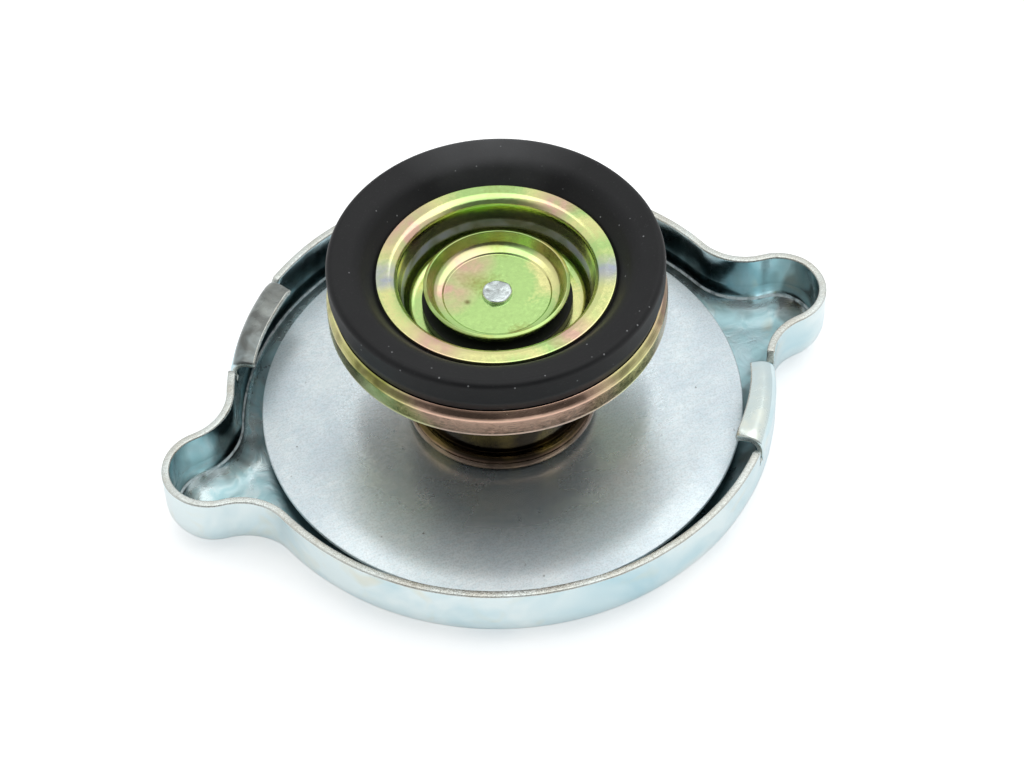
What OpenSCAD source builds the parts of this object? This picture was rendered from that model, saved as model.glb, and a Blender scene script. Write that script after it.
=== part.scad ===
// Pressure cap for a cooling system filler neck, lying on its outer face with the valve up.
// A pressed shell with two finger ears carries a spring disc and a sprung valve on one rivet.
// Millimetres, +Z from the outer face towards the valve, ears along X.

/* [Shell] */
// Diameter of the round shell over its wall
shell_d = 70.4; // [66:0.2:80]
// Height of the shell from its outer face to the rim
shell_h = 10; // [8.5:0.1:14]
// Thickness of the shell's sheet
shell_t = 1; // [0.7:0.1:1.2]
// Radius of the bend between the outer face and the wall
corner_r = 5; // [2:0.5:5.5]
// Depth of the round recess in the middle of the outer face
recess_h = 3.5; // [2.6:0.1:4.5]
// Diameter of the flat seat for the spring disc inside the recess
seat_d = 26; // [20:0.5:28]

/* [Ears] */
// Length of the shell from ear tip to ear tip
ear_span = 90.6; // [88:0.2:100]
// Radius of the round end of an ear
ear_tip_r = 6.3; // [5.8:0.1:7]
// Radius of the hollow sweep from an ear into the round wall
ear_flare_r = 7; // [5:0.5:10]

/* [Locking tabs] */
// Angle from the first ear's axis to the middle of the tab beside it
tab_a_angle = 30.4; // [30:0.2:60]
// Angle from the second ear's axis to the middle of the tab beside it
tab_b_angle = 38.2; // [30:0.2:60]
// Angle that a tab spans
tab_span = 23.6; // [18:0.2:25]
// Angle at which a tab climbs towards its far end
tab_ramp = 3.8; // [0:0.2:4.4]
// How far a tab reaches in from the wall's outer face
tab_reach = 3.8; // [3:0.1:4]
// Radius of the fold at the top of a tab
tab_fold_r = 1.8; // [1.4:0.1:2.2]
// Height of a tab's fold above the rim, at the tab's middle
tab_rise = 0.9; // [0.2:0.1:1.4]
// Fall of a tab from its fold to its free edge
tab_fall = 0.5; // [0:0.1:0.8]
// Width of the relief notch at each end of a tab
notch_w = 1.2; // [0.6:0.1:1.6]
// Depth of the relief notches below the rim
notch_h = 2.2; // [1.8:0.1:3]
// Drop of the stop turned down at a tab's far end
stop_drop = 0.6; // [0.4:0.1:2]

/* [Spring disc] */
// Diameter of the spring disc
disc_d = 62; // [58:0.5:63]
// Thickness of the spring disc
disc_t = 0.6; // [0.4:0.1:1]
// Rise of the disc from its middle to its flat sealing band
disc_dish = 0.5; // [0.2:0.1:1]
// Inner diameter of the flat sealing band
disc_band_d = 38; // [34:1:46]

/* [Centre rivet] */
// Diameter of the rivet's shank
rivet_d = 6; // [4:0.5:7]
// Diameter of the head in the outer recess
rivet_head_d = 11; // [9:0.5:14]
// Height of the head in the outer recess
rivet_head_h = 1.6; // [1:0.1:2]
// Diameter of the peened end inside the bell
rivet_peen_d = 9.2; // [8:0.2:9.6]
// Height of the peened end inside the bell
rivet_peen_h = 1.4; // [0.8:0.1:2]

/* [Bell housing] */
// Diameter of the bell's tube
bell_d = 21.8; // [21.4:0.2:25]
// Height of the bell from the disc to its mouth
bell_h = 12; // [11:0.5:14]
// Thickness of the bell's sheet
bell_t = 0.8; // [0.5:0.1:1]
// How far the rolled bead at the bell's foot stands out from the tube
bead_w = 1.4; // [1.4:0.1:2]
// Height of the rolled bead at the bell's foot
bead_h = 2.6; // [2.2:0.1:2.8]

/* [Guide sleeve] */
// Diameter of the guide sleeve
sleeve_d = 17.6; // [17:0.1:18.2]
// Length of the guide sleeve
sleeve_l = 7.2; // [7:0.05:10]
// Thickness of the sleeve's sheet
sleeve_t = 0.7; // [0.5:0.1:0.8]
// Diameter of the turned-out lip at the sleeve's lower end
sleeve_lip_d = 19.2; // [18.8:0.1:19.6]

/* [Pressure valve] */
// Diameter of the valve carrier
carrier_d = 42.4; // [40:0.2:46]
// Height of the carrier to its lip
carrier_h = 4.55; // [4:0.05:5]
// Thickness of the carrier's sheet
carrier_t = 0.6; // [0.4:0.1:0.8]
// Height of the upright part of the carrier's wall
carrier_wall_h = 3.6; // [3:0.1:3.8]
// How far the carrier's lip is rolled in
carrier_lip_in = 0.7; // [0.3:0.1:0.9]
// Height of the rubber ring where the retainer clamps it
gasket_h = 5.75; // [5:0.05:7]
// How far the rubber ring's outer edge rises above its clamped part, before the edge is rounded
gasket_rise = 3.4; // [1.5:0.1:4]
// Radius of the rubber ring's rounded outer edge
gasket_round_r = 0.8; // [0.4:0.1:1]
// How far the rubber ring swells past the carrier's lip
gasket_swell = 0.4; // [0.1:0.05:0.5]
// Diameter over the retainer's flange
retainer_d = 29.8; // [28:0.2:32]
// Thickness of the retainer's sheet
retainer_t = 0.5; // [0.3:0.1:0.6]
// Diameter of the retainer's well at its mouth, before the mouth is rounded
well_d = 24.9; // [23:0.1:26]
// Diameter of the well at its floor
well_floor_d = 22.6; // [20.6:0.1:23]
// Radius of the rounded mouth of the well
well_round_r = 1.3; // [0.8:0.1:1.5]
// Diameter of the eyelet neck that clamps retainer, carrier and sleeve
neck_d = 8.8; // [8:0.1:9]
// Diameter of the eyelet's turned-out end
neck_flare_d = 10.6; // [10:0.1:11]

/* [Pressure spring] */
// Mean diameter of the pressure spring
spring_d = 13.6; // [13.2:0.1:14]
// Wire diameter of the pressure spring
spring_wire_d = 2; // [1.2:0.1:2]
// Number of turns of the pressure spring
spring_turns = 5; // [4:0.5:5]

/* [Vacuum valve] */
// Diameter over the rim of the vacuum dish
dish_d = 18.3; // [16:0.1:19]
// Height of the vacuum dish's rim above its underside
dish_h = 2.2; // [1.6:0.1:2.6]
// Thickness of the dish's sheet
dish_t = 0.5; // [0.3:0.1:0.6]
// Diameter of the flat floor of the dish
dish_floor_d = 13.2; // [10:0.1:14]
// Depth of the step round the dish's floor
dish_step_h = 0.25; // [0.1:0.05:0.4]
// Diameter of the rubber washer
washer_d = 18.8; // [16:0.1:20]
// Thickness of the rubber washer
washer_t = 1.2; // [0.6:0.1:1.4]
// Diameter of the stem
stem_d = 2.2; // [1.6:0.1:3]
// Diameter of the stem's head in the dish
stem_head_d = 3.8; // [3.2:0.1:5]
// Height of the stem's head in the dish
stem_head_h = 0.55; // [0.4:0.05:1]
// Diameter of the peened end below the spring cap
stem_peen_d = 3.4; // [3:0.1:4.4]
// Height of the peened end below the spring cap
stem_peen_h = 0.6; // [0.4:0.1:1]
// Mean diameter of the vacuum spring
vac_spring_d = 9.2; // [8.8:0.1:9.6]
// Wire diameter of the vacuum spring
vac_wire_d = 0.5; // [0.3:0.1:0.6]
// Number of turns of the vacuum spring
vac_turns = 4; // [3:0.5:5]
// Length of the vacuum spring with the valve shut
vac_spring_l = 4.5; // [4:0.1:5.5]
// Diameter of the spring cap on the stem
cap_d = 10.2; // [10:0.1:11]
// Thickness of the spring cap
cap_t = 0.5; // [0.4:0.1:0.8]

/* [Clearances] */
// Radial clearance of a shank in its hole
hole_gap = 0.05; // [0.02:0.01:0.08]
// Radial clearance between the sliding sleeve and the bell's mouth
slide_gap = 0.15; // [0.1:0.05:0.3]
// Gap between the sleeve's lip and the bell's mouth with the valve at rest
stop_gap = 0.05; // [0.02:0.01:0.1]
// Gap between the rubber ring and the metal round it
rubber_gap = 0.1; // [0.05:0.05:0.3]
// Gap between a spring's end and its seat
spring_gap = 0.05; // [0.02:0.01:0.1]

/* [Hidden] */
$fn = 96;

// Straight steps in the bend of a sheet, and sides and steps of a spring's wire
bend_steps = 6;
wire_sides = 8;
steps_per_turn = 24;
// Points of a path closer than this are one point
same_point = 0.001;
// How far, and how much set back, one sweep of the shell's sheet runs into the next
seam_lap = 0.1;
seam_step = 0.08;

// Ear outline: the flare's centre touches both the round wall and the ear's tip
shell_r = shell_d / 2;
ear_x = ear_span / 2 - ear_tip_r;
flare_x = (ear_x * ear_x + pow(shell_r + ear_flare_r, 2) - pow(ear_tip_r + ear_flare_r, 2)) / (2 * ear_x);
flare_y = sqrt(pow(shell_r + ear_flare_r, 2) - flare_x * flare_x);
// Half the angle that an ear takes out of the round wall
ear_half_angle = atan2(flare_y, flare_x);
// Direction from the tip's centre to the flare's centre
tip_half_angle = atan2(flare_y, flare_x - ear_x);
// Angles of the two tabs, clockwise from the first ear's axis
tab_angles = [tab_a_angle, 180 + tab_b_angle];
// Where the joggle of the centre recess meets the flat floor
joggle_end = seat_d / 2 + recess_h + shell_t;

// Heights of the seats, from the outer face up
seat_top = recess_h + shell_t;
disc_mid_top = seat_top + disc_t;
disc_top = disc_mid_top + disc_dish;
bell_floor_top = disc_mid_top + bell_t;
bell_top = disc_mid_top + bell_h;
sleeve_bottom = bell_top - bell_t - stop_gap - sleeve_t;
carrier_bottom = sleeve_bottom + sleeve_l;
carrier_floor_top = carrier_bottom + carrier_t;
carrier_top = carrier_bottom + carrier_h;
gasket_top = carrier_floor_top + gasket_h;
retainer_top = gasket_top + retainer_t;
well_floor_top = carrier_floor_top + retainer_t;
neck_bottom = carrier_bottom - sleeve_t - retainer_t;
dish_bottom = well_floor_top + washer_t;
dish_floor_top = dish_bottom + dish_t;
cap_top = neck_bottom - vac_spring_l;

// Plane geometry of bent sheet
function unit(v) = v / norm(v);
function left_of(v) = [-v[1], v[0]];
function turned(v, a) = [v[0] * cos(a) - v[1] * sin(a), v[0] * sin(a) + v[1] * cos(a)];
function flat(p) = [p[0], p[1]];

// Arc of radius r that rounds the corner b between a and c
function rounded_corner(a, b, c, r) =
    let (u = unit(a - b),
         v = unit(c - b),
         half = acos(u * v) / 2,
         centre = b + unit(u + v) * r / sin(half),
         start = b + u * r / tan(half) - centre,
         way = u[0] * v[1] - u[1] * v[0] > 0 ? -1 : 1)
    [for (i = [0 : bend_steps]) centre + turned(start, way * (180 - 2 * half) * i / bend_steps)];

// Path through corners given as [radius, height, bend radius], where bends may run into each other
function bent_path(corners) =
    let (last = len(corners) - 1,
         points = [for (i = [0 : last])
             each i == 0 || i == last || len(corners[i]) < 3
                 ? [flat(corners[i])]
                 : rounded_corner(flat(corners[i - 1]), flat(corners[i]), flat(corners[i + 1]),
                                  corners[i][2])])
    [for (i = [0 : len(points) - 1]) if (i == 0 || norm(points[i] - points[i - 1]) > same_point) points[i]];

// Point i of a path, moved to its left by d
function beside(path, i, d) =
    let (before = left_of(unit(path[max(i, 1)] - path[max(i, 1) - 1])),
         next = min(i, len(path) - 2),
         after = left_of(unit(path[next + 1] - path[next])),
         middle = unit(before + after))
    path[i] + middle * d / (middle * before);

// Section of a sheet of thickness t that lies on the left of a bent path
module sheet_section(corners, t) {
    path = bent_path(corners);
    last = len(path) - 1;
    polygon(concat(path, [for (i = [0 : last]) beside(path, last - i, t)]));
}

// Disc or shank with its top edge rounded, standing on the plane z = 0
module domed(d, h, round_r) {
    rotate_extrude()
        polygon(concat([[0, 0], [d / 2, 0]],
                       [for (i = [0 : bend_steps])
                           [d / 2 - round_r + round_r * cos(90 * i / bend_steps),
                            h - round_r + round_r * sin(90 * i / bend_steps)]],
                       [[0, h]]));
}

// Coil of round wire whose end turns lie flat, standing on the plane z = 0
module coil(mean_d, wire_d, turns, length) {
    rise = length - wire_d;
    steps = floor(turns * steps_per_turn);
    function climb(t) =
        let (open = (rise - 2 * wire_d) / (turns - 2))
        t < 1 ? t * wire_d : t > turns - 1 ? rise - (turns - t) * wire_d : wire_d + (t - 1) * open;
    rings = [for (i = [0 : steps], k = [0 : wire_sides - 1])
        let (t = turns * i / steps,
             a = 360 * t,
             b = 360 * k / wire_sides,
             r = mean_d / 2 + wire_d / 2 * cos(b))
        [r * cos(a), r * sin(a), wire_d / 2 + climb(t) + wire_d / 2 * sin(b)]];
    sides = [for (i = [0 : steps - 1], k = [0 : wire_sides - 1])
        let (here = i * wire_sides, next = here + wire_sides, k2 = (k + 1) % wire_sides)
        each [[here + k, here + k2, next + k2], [here + k, next + k2, next + k]]];
    first = [for (k = [0 : wire_sides - 1]) wire_sides - 1 - k];
    last = [for (k = [0 : wire_sides - 1]) steps * wire_sides + k];
    polyhedron(points = rings, faces = concat(sides, [first, last]));
}

// Wall, corner bend and floor of the shell, swept round an arc.
// The outer face is at radius r, and the sheet lies inside it (side 1) or outside it (side -1).
// A sweep set back from the sheet's faces can run into the next one and join it cleanly.
module wall_sweep(r, side, from, to, floor_end, back = 0) {
    face = r - side * back;
    rotate([0, 0, from])
        rotate_extrude(angle = to - from)
            sheet_section([[face, shell_h - back], [face, back, corner_r - back], [floor_end, back]],
                          side * (2 * back - shell_t));
}

// Hollow sweep between the round wall and the tip of an ear, on the +Y side
module ear_flare() {
    lap_angle = seam_lap / ear_flare_r * 180 / PI;
    translate([flare_x, flare_y, 0])
        wall_sweep(ear_flare_r, -1, 180 + ear_half_angle - lap_angle, 180 + tip_half_angle + lap_angle,
                   ear_flare_r + (corner_r + ear_tip_r) / 2, seam_step);
}

// Floor between the two flares of an ear, lapping on to the floors of the sweeps around it
module ear_floor() {
    flat_r = shell_r - corner_r - seam_lap;
    side_angle = ear_half_angle + 2;
    side_point = flat_r * [cos(side_angle), sin(side_angle)];
    tip_x = ear_x + (ear_tip_r - corner_r) / 2;
    flare_floor_r = ear_flare_r + (3 * corner_r + ear_tip_r) / 4;
    difference() {
        linear_extrude(shell_t)
            polygon([[0, 0], [side_point[0], -side_point[1]], [flare_x, -flare_y], [tip_x, 0],
                     [flare_x, flare_y], side_point]);
        for (s = [-1, 1])
            translate([flare_x, s * flare_y, -shell_t])
                cylinder(r = flare_floor_r, h = 3 * shell_t);
        translate([0, 0, -shell_t])
            cylinder(r = joggle_end - shell_t / 2, h = 3 * shell_t);
    }
}

// One ear: round tip, two flares and the floor between them
module ear() {
    translate([ear_x, 0, 0])
        wall_sweep(ear_tip_r, 1, -tip_half_angle, tip_half_angle, 0);
    ear_flare();
    mirror([0, 1, 0])
        ear_flare();
    ear_floor();
}

// Floor raised in the middle, so that the rivet's head lies in a recess of the outer face
module recess() {
    step_r = seat_d / 2 + recess_h / 2 - shell_t / 2;
    rotate_extrude()
        sheet_section([[joggle_end, 0], [step_r, 0, recess_h / 2 + shell_t / 2],
                       [step_r, recess_h, recess_h / 2 - shell_t / 2],
                       [rivet_d / 2 + hole_gap, recess_h]], -shell_t);
}

// Tab folded in from the top of the wall, climbing to a stop turned down at its far end
module locking_tab(angle) {
    root_r = shell_r - seam_step;
    edge_r = shell_r - tab_reach;
    fold_top = shell_h + tab_rise;
    stop_angle = shell_t / edge_r * 180 / PI;
    root_dip = shell_r * sin(tab_span / 2) * sin(tab_ramp) + seam_lap;
    rotate([0, 0, -angle])
        translate([shell_r, 0, shell_h])
            rotate([-tab_ramp, 0, 0])
                translate([-shell_r, 0, -shell_h])
                    rotate([0, 0, -tab_span / 2]) {
                        rotate_extrude(angle = tab_span)
                            sheet_section([[root_r, shell_h - notch_h - root_dip],
                                           [root_r, fold_top, tab_fold_r],
                                           [edge_r, fold_top - tab_fall]], shell_t - 2 * seam_step);
                        rotate_extrude(angle = stop_angle)
                            translate([edge_r, fold_top - tab_fall - shell_t - stop_drop])
                                square([tab_reach - tab_fold_r, stop_drop + shell_t / 2]);
                    }
}

// Gap cut in the rim for a tab and its relief notches
module tab_window(angle) {
    notch_angle = notch_w / shell_r * 180 / PI;
    rotate([0, 0, -angle - tab_span / 2 - notch_angle])
        rotate_extrude(angle = tab_span + 2 * notch_angle)
            translate([shell_r - 2 * shell_t, shell_h - notch_h])
                square([3 * shell_t, 2 * notch_h]);
}

module outer_shell() {
    color("lightsteelblue") {
        difference() {
            union() {
                recess();
                for (half = [0, 180])
                    rotate([0, 0, half]) {
                        wall_sweep(shell_r, 1, ear_half_angle, 180 - ear_half_angle,
                                   joggle_end - shell_t / 2);
                        ear();
                    }
            }
            for (angle = tab_angles)
                tab_window(angle);
        }
        for (angle = tab_angles)
            locking_tab(angle);
    }
}

// Shallow dished disc that is clamped between the shell's seat and the bell
module spring_disc() {
    color("gainsboro")
        rotate_extrude()
            sheet_section([[rivet_d / 2 + hole_gap, seat_top], [seat_d / 2, seat_top],
                           [disc_band_d / 2, seat_top + disc_dish], [disc_d / 2, seat_top + disc_dish]],
                          disc_t);
}

// Shank through shell, disc and bell, with a head in the outer recess and a peened end inside
module centre_rivet() {
    color("silver") {
        translate([0, 0, recess_h])
            mirror([0, 0, 1])
                domed(rivet_head_d, rivet_head_h, rivet_head_h / 2);
        translate([0, 0, recess_h])
            cylinder(d = rivet_d, h = bell_floor_top - recess_h);
        translate([0, 0, bell_floor_top])
            domed(rivet_peen_d, rivet_peen_h, rivet_peen_h / 2);
    }
}

// Drawn cup with a rolled bead at its foot and a turned-in mouth
module bell_housing() {
    tube_r = bell_d / 2;
    bead_r = tube_r + bead_w;
    mouth_r = sleeve_d / 2 + slide_gap;
    bend_r = 1.5 * bell_t;
    color("darkgoldenrod")
        rotate_extrude()
            sheet_section([[rivet_d / 2 + hole_gap, disc_mid_top],
                           [bead_r, disc_mid_top, bead_h / 2],
                           [bead_r, disc_mid_top + bead_h, bead_h / 2],
                           [tube_r, disc_mid_top + bead_h],
                           [tube_r, bell_top, bend_r], [mouth_r, bell_top]], bell_t);
}

// Tube under the carrier, its lower lip caught by the bell's mouth
module guide_sleeve() {
    tube_r = sleeve_d / 2;
    color("goldenrod")
        rotate_extrude()
            sheet_section([[sleeve_lip_d / 2, sleeve_bottom + sleeve_t], [tube_r, sleeve_bottom + sleeve_t],
                           [tube_r, carrier_bottom, 2 * sleeve_t], [neck_d / 2 + hole_gap, carrier_bottom]],
                          sleeve_t);
}

// Dish that holds the rubber ring, with an upright wall and a rolled lip
module valve_carrier() {
    carrier_r = carrier_d / 2;
    color("goldenrod")
        rotate_extrude()
            sheet_section([[neck_d / 2 + hole_gap, carrier_bottom],
                           [carrier_r, carrier_bottom, 2 * carrier_t],
                           [carrier_r, carrier_bottom + carrier_wall_h, 2 * carrier_t],
                           [carrier_r - carrier_lip_in, carrier_top]], carrier_t);
}

// Thick ring that fills the carrier, swells over its lip and bulges up round the retainer's flange
module pressure_gasket() {
    lip_r = carrier_d / 2 - carrier_lip_in;
    neck_r = lip_r - carrier_t - rubber_gap;
    bore_r = well_d / 2 + well_round_r + rubber_gap;
    edge_r = lip_r + gasket_swell;
    flange_r = retainer_d / 2 + rubber_gap;
    // Where the squeezed rubber levels off, as shares of its free width and of its rise
    crown_share = [0.35, 0.74];
    crown_r = flange_r + crown_share[0] * (edge_r - flange_r);
    crown_z = gasket_top + crown_share[1] * gasket_rise;
    crown_bend_r = 3;
    swell_bend_r = 2;
    color("#2b2b2d")
        rotate_extrude()
            polygon(bent_path([[bore_r, carrier_floor_top], [neck_r - rubber_gap, carrier_floor_top],
                               [neck_r, carrier_top + rubber_gap],
                               [lip_r - rubber_gap, carrier_top + rubber_gap],
                               [edge_r, gasket_top, swell_bend_r],
                               [edge_r, gasket_top + gasket_rise, gasket_round_r],
                               [crown_r, crown_z, crown_bend_r],
                               [flange_r, gasket_top], [bore_r, gasket_top]]));
}

// Pressed eyelet: flange on the rubber, well with a flat floor, neck turned out below the sleeve
module gasket_retainer() {
    neck_r = neck_d / 2 - retainer_t;
    bend_r = 1.4 * retainer_t;
    color("gold")
        rotate_extrude()
            sheet_section([[retainer_d / 2, retainer_top],
                           [well_d / 2, retainer_top, well_round_r],
                           [well_floor_d / 2, well_floor_top, bend_r],
                           [neck_r, well_floor_top, bend_r],
                           [neck_r, neck_bottom, bend_r],
                           [neck_flare_d / 2, neck_bottom]], retainer_t);
}

// Rubber washer that closes the neck from above
module vacuum_gasket() {
    color("#1c1c1e")
        translate([0, 0, well_floor_top])
            difference() {
                cylinder(d = washer_d, h = washer_t);
                translate([0, 0, -washer_t])
                    cylinder(d = stem_d + 2 * hole_gap, h = 3 * washer_t);
            }
}

// Saucer with a flared wall and a flat floor set down by a small step
module vacuum_dish() {
    floor_r = dish_floor_d / 2 + dish_t / 2;
    ledge_z = dish_bottom + dish_step_h;
    color("khaki")
        rotate_extrude()
            sheet_section([[dish_d / 2, dish_bottom + dish_h],
                           [(dish_d / 2 + floor_r) / 2 + dish_t / 2, ledge_z + dish_step_h, 3 * dish_t],
                           [floor_r + dish_step_h, ledge_z],
                           [floor_r, dish_bottom],
                           [stem_d / 2 + hole_gap, dish_bottom]], -dish_t);
}

// Rivet through dish, washer and neck
module vacuum_stem() {
    color("silver") {
        translate([0, 0, dish_floor_top])
            domed(stem_head_d, stem_head_h, stem_head_h / 2);
        translate([0, 0, cap_top - cap_t])
            cylinder(d = stem_d, h = dish_floor_top - cap_top + cap_t);
        translate([0, 0, cap_top - cap_t])
            mirror([0, 0, 1])
                domed(stem_peen_d, stem_peen_h, stem_peen_h / 2);
    }
}

// Washer on the stem that the light spring bears on
module vacuum_spring_cap() {
    color("goldenrod")
        translate([0, 0, cap_top - cap_t])
            difference() {
                cylinder(d = cap_d, h = cap_t);
                translate([0, 0, -cap_t])
                    cylinder(d = stem_d + 2 * hole_gap, h = 3 * cap_t);
            }
}

// Strong spring between the bell's floor and the sleeve's top
module pressure_spring() {
    color("dimgray")
        translate([0, 0, bell_floor_top + spring_gap])
            coil(spring_d, spring_wire_d, spring_turns,
                 carrier_bottom - sleeve_t - bell_floor_top - 2 * spring_gap);
}

// Light spring between the neck's turned-out end and the spring cap
module vacuum_spring() {
    color("gray")
        translate([0, 0, cap_top + spring_gap])
            coil(vac_spring_d, vac_wire_d, vac_turns, vac_spring_l - 2 * spring_gap);
}

outer_shell();
centre_rivet();
spring_disc();
bell_housing();
pressure_spring();
guide_sleeve();
valve_carrier();
pressure_gasket();
gasket_retainer();
vacuum_gasket();
vacuum_dish();
vacuum_stem();
vacuum_spring();
vacuum_spring_cap();
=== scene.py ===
"""Looks of a filler neck pressure cap: its pressed pieces, finishes and studio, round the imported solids."""

import math
from collections import namedtuple

import bmesh
import bpy
from bpy.props import FloatProperty, FloatVectorProperty, PointerProperty
from bpy.types import Operator, Panel, PropertyGroup
from mathutils import Matrix, Vector, noise


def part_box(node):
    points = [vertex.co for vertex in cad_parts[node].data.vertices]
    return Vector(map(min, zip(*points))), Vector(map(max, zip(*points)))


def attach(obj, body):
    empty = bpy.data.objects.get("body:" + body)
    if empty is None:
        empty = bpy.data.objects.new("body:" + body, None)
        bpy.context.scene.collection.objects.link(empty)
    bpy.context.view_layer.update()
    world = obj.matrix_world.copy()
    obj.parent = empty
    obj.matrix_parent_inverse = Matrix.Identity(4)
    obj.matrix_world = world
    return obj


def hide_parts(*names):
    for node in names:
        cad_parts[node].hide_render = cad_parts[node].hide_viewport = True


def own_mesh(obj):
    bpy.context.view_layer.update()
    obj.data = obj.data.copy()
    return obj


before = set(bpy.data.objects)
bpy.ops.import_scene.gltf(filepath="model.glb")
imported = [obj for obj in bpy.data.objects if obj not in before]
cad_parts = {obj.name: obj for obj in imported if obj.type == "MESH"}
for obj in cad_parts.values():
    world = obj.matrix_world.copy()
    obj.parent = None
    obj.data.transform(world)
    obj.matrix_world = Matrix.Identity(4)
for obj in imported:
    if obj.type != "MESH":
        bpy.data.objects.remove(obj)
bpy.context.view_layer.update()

bl_info = {
    "name": "Radiator cap looks",
    "version": (1, 0, 0),
    "blender": (4, 5, 0),
    "location": "View3D > Sidebar > Cap",
    "description": "Builds the pressed pieces, finishes and studio of a filler neck pressure cap",
    "category": "Object",
}

MM = 0.001
# Points along each bend and each rounded edge of a sheet, and steps of a turned piece
BEND_STEPS = 8
EDGE_STEPS = 4
LATHE_STEPS = 288
# Distance of the points that hold a flat face flat beside a bend
HOLD = 0.06 * MM
# Points of a line closer than this are one point
SAME_POINT = 0.002 * MM


def reach_of(node):
    """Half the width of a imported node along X."""
    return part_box(node)[1].x


def bottom_of(node):
    """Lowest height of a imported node."""
    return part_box(node)[0].z


def top_of(node):
    """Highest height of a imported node."""
    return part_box(node)[1].z


def room_of(node):
    """Lowest height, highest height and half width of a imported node."""
    return bottom_of(node), top_of(node), reach_of(node)


def length(name, description, mm):
    """A size in millimetres that the sidebar shows with its unit."""
    return FloatProperty(name=name, description=description, default=mm * MM, min=0.0,
                         precision=5, unit="LENGTH", subtype="DISTANCE")


def angle(name, description, degrees):
    """An angle that the sidebar shows in degrees."""
    return FloatProperty(name=name, description=description, default=math.radians(degrees),
                         unit="ROTATION", subtype="ANGLE")


def share(name, description, default):
    """A plain number with no unit."""
    return FloatProperty(name=name, description=description, default=default, min=0.0)


def linear(red, green, blue):
    """Scene-linear colour of three display values from 0 to 255."""
    return tuple((c / 255 / 12.92) if c <= 10 else ((c / 255 + 0.055) / 1.055) ** 2.4
                 for c in (red, green, blue))


def colour(name, description, red, green, blue):
    """A colour that is written as display values and kept linear."""
    return FloatVectorProperty(name=name, description=description, default=linear(red, green, blue),
                               min=0.0, max=1.0, size=3, subtype="COLOR")


class CapShellSizes(PropertyGroup):
    """Sizes of the pressed shell."""

    wall_r: length("Wall radius", "Radius of the round wall's outer face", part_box("outer_shell")[1].y / MM)
    ear_reach: length("Ear reach", "Distance from the axis to an ear's end", reach_of("outer_shell") / MM)
    rim_h: length("Rim height", "Height of the rim above the outer face", 10)
    sheet_t: length("Sheet", "Thickness of the sheet", 1)
    corner_r: length("Corner", "Radius of the bend from the outer face to the wall", 5)
    ear_tip_r: length("Ear tip", "Radius of an ear's round end", 6.3)
    ear_flare_r: length("Ear flare", "Radius of the sweep from an ear into the wall", 7)
    recess_h: length("Recess", "Depth of the round recess in the outer face", 3.5)
    seat_r: length("Seat", "Radius of the flat seat inside the recess", 13)
    hole_r: length("Hole", "Radius of the rivet's hole", 3.05)
    tab_a_angle: angle("First tab", "Angle from the first ear to the tab beside it", 30.4)
    tab_b_angle: angle("Second tab", "Angle from the second ear to the tab beside it", 38.2)
    tab_span: angle("Tab span", "Angle that a tab spans", 23.6)
    tab_ramp: angle("Tab ramp", "Climb of a tab towards its far end", 3.8)
    tab_reach: length("Tab reach", "How far a tab reaches in from the wall's outer face", 3.8)
    tab_taper: length("Tab taper", "How much less a tab reaches in beside its ear", 0.5)
    tab_fold_r: length("Tab fold", "Radius of the fold at the top of a tab", 1.8)
    tab_rise: length("Tab rise", "Height of a tab's fold above the rim", 0.9)
    tab_fall: length("Tab fall", "Fall of a tab from its fold to its free edge", 0.5)
    stop_drop: length("Stop", "Drop of the free edge at a tab's far end", 0.5)
    notch_w: length("Notch width", "Width of the relief notch at each end of a tab", 1.2)
    notch_h: length("Notch depth", "Depth of the relief notches below the rim", 2.2)
    edge_r: length("Edge", "Rounding of the sheet's cut edges", 0.22)
    rim_wave: length("Rim wave", "Unevenness of the trimmed rim", 0.1)
    # The bright line is a painted highlight that stands in for a sharp bend at the wall's foot
    crease_h: length("Crease", "Height above the floor of the bright line in the bend", 2.05)


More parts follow.
